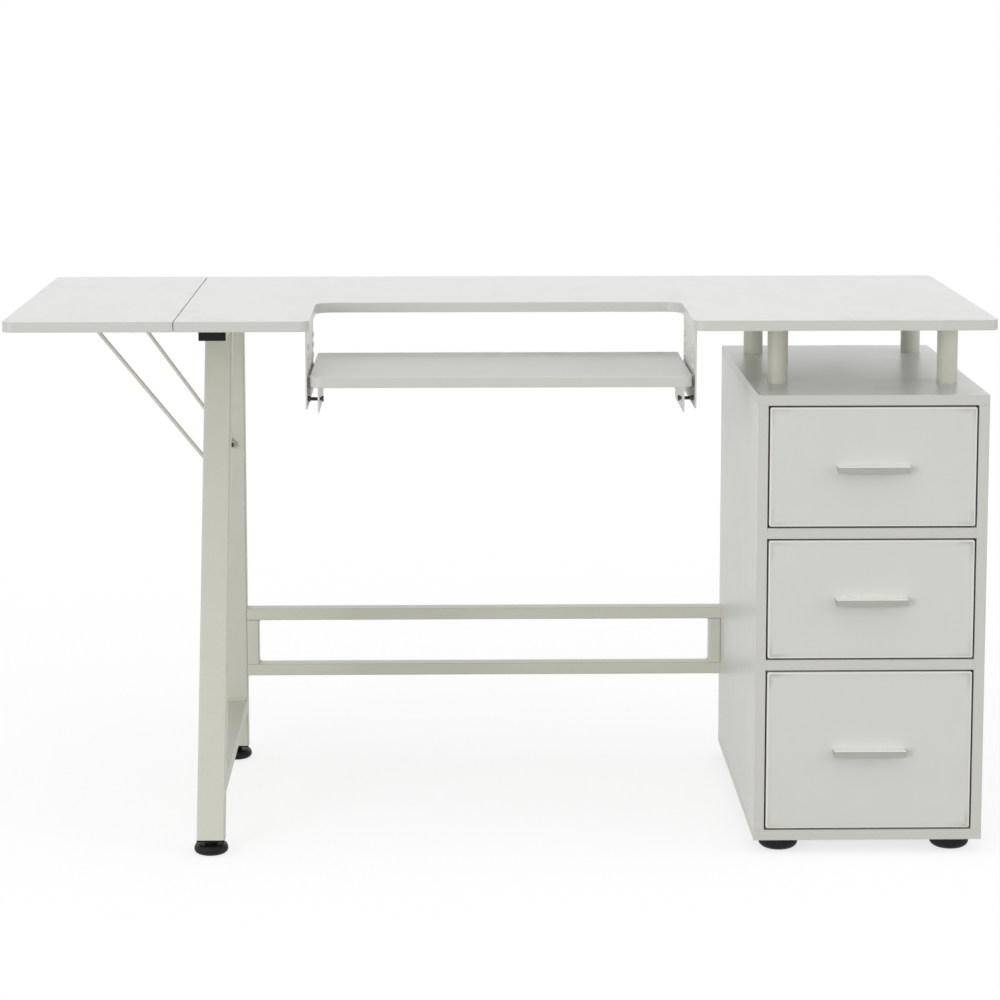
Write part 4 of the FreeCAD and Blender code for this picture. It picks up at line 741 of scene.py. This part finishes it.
# The shelf's bolts sit in the lowest hole of each line, and every hole above has a collar
bolt_height = bracket_low[2] + BRACKET_HOLE_RISE
collar_heights = bolt_height + BRACKET_HOLE_PITCH * np.arange(1, COLLARS_PER_LINE + 1)
for name, side in (("left", -1), ("right", 1)):
    collars = [turned_round(COLLAR_OUTLINE, (side * bracket_face, y, z), (-side, 0, 0), COLLAR_STEPS)
               for y in hole_lines for z in collar_heights]
    make_piece(name + "_bracket_collars", *gather(collars), grey_white_steel, "frame", "powder_coated_steel")

# Threads on the shelf's bolts, between hanger and nut: the pitch is 0.8 mm, drawn at 1.2 mm so that it shows
THREAD_GAP, THREAD_LENGTH = 0.4, 10.8
THREAD_RADIUS, THREAD_DEPTH, THREAD_PITCH = 2.75, 0.5, 1.2
thread_start = corners("shelf_hangers")[1][0] + THREAD_GAP
bolt_threads = [screw_thread((side * thread_start, y, bolt_height), (side, 0, 0), THREAD_LENGTH,
                             THREAD_RADIUS, THREAD_DEPTH, THREAD_PITCH)
                for side in (-1, 1) for y in hole_lines]
make_piece("shelf_bolt_threads", *gather(bolt_threads), black_zinc, "frame", "zinc_plated_steel")

# Grip ribs on the glides' rounded rims, which turn with them, and on the cabinet's feet; each band of ribs
# runs from a lowest to a highest line
BAND_ROWS = 15
GLIDE_RADIUS, GLIDE_HEIGHT, GLIDE_ROUND = 24.0, 14.0, 6.0
GLIDE_BAND = (2.0, 12.0)
GLIDE_RIBS, GLIDE_RIB_DEPTH = 44, 0.5
# The bead along the glide's shoulder: radius and height of its middle, its own round, and its steps
RIM_RADIUS, RIM_HEIGHT, RIM_ROUND = 22.1, 12.2, 0.9
RIM_ARC_STEPS, RIM_STEPS = 12, 72
glide_heights = np.linspace(*GLIDE_BAND, BAND_ROWS)
into_round = np.clip(np.abs(glide_heights - GLIDE_HEIGHT / 2) - (GLIDE_HEIGHT / 2 - GLIDE_ROUND), 0, None)
glide_side = GLIDE_RADIUS - GLIDE_ROUND + np.sqrt(GLIDE_ROUND ** 2 - into_round ** 2)
glide_profile = np.stack([glide_side, glide_heights], axis=1)
rim_turn = np.linspace(0, 2 * math.pi, RIM_ARC_STEPS, endpoint=False)
rim_outline = np.stack([RIM_RADIUS + RIM_ROUND * np.cos(rim_turn),
                        RIM_HEIGHT + RIM_ROUND * np.sin(rim_turn)], axis=1)
for glide in ("front_glide", "rear_glide"):
    glide_low, glide_high = corners(glide)
    centre = (*(glide_low + glide_high)[:2] / 2, glide_low[2])
    band = ribbed_band(glide_profile, centre, GLIDE_RIBS, GLIDE_RIB_DEPTH)
    make_piece(glide + "_ribs", *band, black_plastic, glide, "black_plastic")
    rim = turned_round(rim_outline, centre, (0, 0, 1), RIM_STEPS)
    make_piece(glide + "_rim", *rim, black_plastic, glide, "black_plastic")

FOOT_RADIUS, FOOT_ROUND = 28.0, 9.0
FOOT_BAND = (3.0, 19.5)
FOOT_RIBS, FOOT_RIB_DEPTH = 64, 0.5
foot_heights = np.linspace(*FOOT_BAND, BAND_ROWS)
into_round = np.clip(FOOT_ROUND - foot_heights, 0, None)
foot_side = FOOT_RADIUS - FOOT_ROUND + np.sqrt(FOOT_ROUND ** 2 - into_round ** 2)
foot_profile = np.stack([foot_side, foot_heights], axis=1)
feet_low, feet_high = corners("cabinet_feet")
foot_places = [(x, y, feet_low[2]) for x in (feet_low[0] + FOOT_RADIUS, feet_high[0] - FOOT_RADIUS)
               for y in (feet_low[1] + FOOT_RADIUS, feet_high[1] - FOOT_RADIUS)]
foot_bands = [ribbed_band(foot_profile, centre, FOOT_RIBS, FOOT_RIB_DEPTH) for centre in foot_places]
make_piece("cabinet_feet_ribs", *gather(foot_bands), black_plastic, "frame", "black_plastic")


def softbox(name, place, width, level):
    """A square lamp turned to the table's middle.

    A lamp of power P at a distance d lights a card that faces it with P / (pi d squared), and a white
    card shows this light over pi as its share of white. So P is the level times pi squared d squared.
    """
    lamp = bpy.data.lights.new(name, "AREA")
    lamp.shape = "SQUARE"
    lamp.size = width
    way = Vector(TABLE_MIDDLE) - Vector(place)
    lamp.energy = level * math.pi ** 2 * way.length_squared
    box = bpy.data.objects.new(name, lamp)
    box.matrix_world = Matrix.Translation(place) @ way.to_track_quat("-Z", "Y").to_matrix().to_4x4()
    bpy.context.scene.collection.objects.link(box)


for name, (place, width, level) in SOFTBOXES.items():
    softbox(name, place, width, level)


def seen_directly(tree):
    """One for rays from the camera, from mirrors and through glass, nought for light on the table."""
    rays = add(tree, "ShaderNodeLightPath").outputs
    seen = add(tree, "ShaderNodeMath", {0: rays["Is Camera Ray"], 1: rays["Is Glossy Ray"]}, operation="ADD")
    return add(tree, "ShaderNodeMath", {0: seen.outputs[0], 1: rays["Is Transmission Ray"]}, operation="ADD",
               use_clamp=True).outputs[0]


world = bpy.data.worlds.new("white_studio")
bpy.context.scene.world = world
world.use_nodes = True
sky = world.node_tree
sky.nodes.clear()
fill = add(sky, "ShaderNodeBackground", {"Color": FULL_WHITE, "Strength": FILL_LEVEL})
white = add(sky, "ShaderNodeBackground", {"Color": FULL_WHITE, "Strength": 1.0})
either = add(sky, "ShaderNodeMixShader", {0: seen_directly(sky), 1: fill.outputs[0], 2: white.outputs[0]})
add(sky, "ShaderNodeOutputWorld", {"Surface": either.outputs[0]})

floor_mesh = bpy.data.meshes.new("studio_floor")
floor_corners = np.array([(-1, -1, 0), (1, -1, 0), (1, 1, 0), (-1, 1, 0)]) * FLOOR_HALF
floor_mesh.from_pydata(floor_corners.tolist(), [], [(0, 1, 2, 3)])
floor = bpy.data.objects.new("studio_floor", floor_mesh)
bpy.context.scene.collection.objects.link(floor)
paper, tree, place = blank("white_paper_floor")
lit = add(tree, "ShaderNodeBsdfDiffuse", {"Color": linear(FLOOR_COLOUR)})
shade = add(tree, "ShaderNodeBsdfDiffuse", {"Color": linear(FLOOR_SEEN_COLOUR)})
glow = add(tree, "ShaderNodeEmission", {"Color": FULL_WHITE, "Strength": FLOOR_SEEN_GLOW})
seen = add(tree, "ShaderNodeAddShader", {0: shade.outputs[0], 1: glow.outputs[0]})
away = add(tree, "ShaderNodeEmission", {"Color": FULL_WHITE, "Strength": 1.0})
reach = add(tree, "ShaderNodeVectorMath", {0: place}, operation="LENGTH")
clear = add(tree, "ShaderNodeMapRange", {"Value": reach.outputs["Value"], "From Min": FLOOR_SHADOW_NEAR,
                                         "From Max": FLOOR_SHADOW_FAR}, interpolation_type="SMOOTHSTEP")
seen = add(tree, "ShaderNodeMixShader", {0: clear.outputs[0], 1: seen.outputs[0], 2: away.outputs[0]})
both = add(tree, "ShaderNodeMixShader", {0: seen_directly(tree), 1: lit.outputs[0], 2: seen.outputs[0]})
add(tree, "ShaderNodeOutputMaterial", {"Surface": both.outputs[0]})
floor_mesh.materials.append(paper)

forward = Vector((math.sin(CAMERA_TURN_RIGHT) * math.cos(CAMERA_LOOK_DOWN),
                  math.cos(CAMERA_TURN_RIGHT) * math.cos(CAMERA_LOOK_DOWN), -math.sin(CAMERA_LOOK_DOWN)))
right = Vector((math.cos(CAMERA_TURN_RIGHT), -math.sin(CAMERA_TURN_RIGHT), 0))
upward = right.cross(forward)
tilted_right = right * math.cos(CAMERA_TILT) + upward * math.sin(CAMERA_TILT)
tilted_up = upward * math.cos(CAMERA_TILT) - right * math.sin(CAMERA_TILT)
lens = bpy.data.cameras.new("camera")
lens.lens, lens.sensor_width, lens.shift_y = CAMERA_LENS, CAMERA_SENSOR, CAMERA_SHIFT
camera = bpy.data.objects.new("camera", lens)
camera.matrix_world = (Matrix.Translation(Vector(CAMERA_PLACE) * MM)
                       @ Matrix((tilted_right, tilted_up, -forward)).transposed().to_4x4())
bpy.context.scene.collection.objects.link(camera)
bpy.context.scene.camera = camera
bpy.context.scene.view_settings.view_transform = "Standard"

bpy.context.view_layer.update()
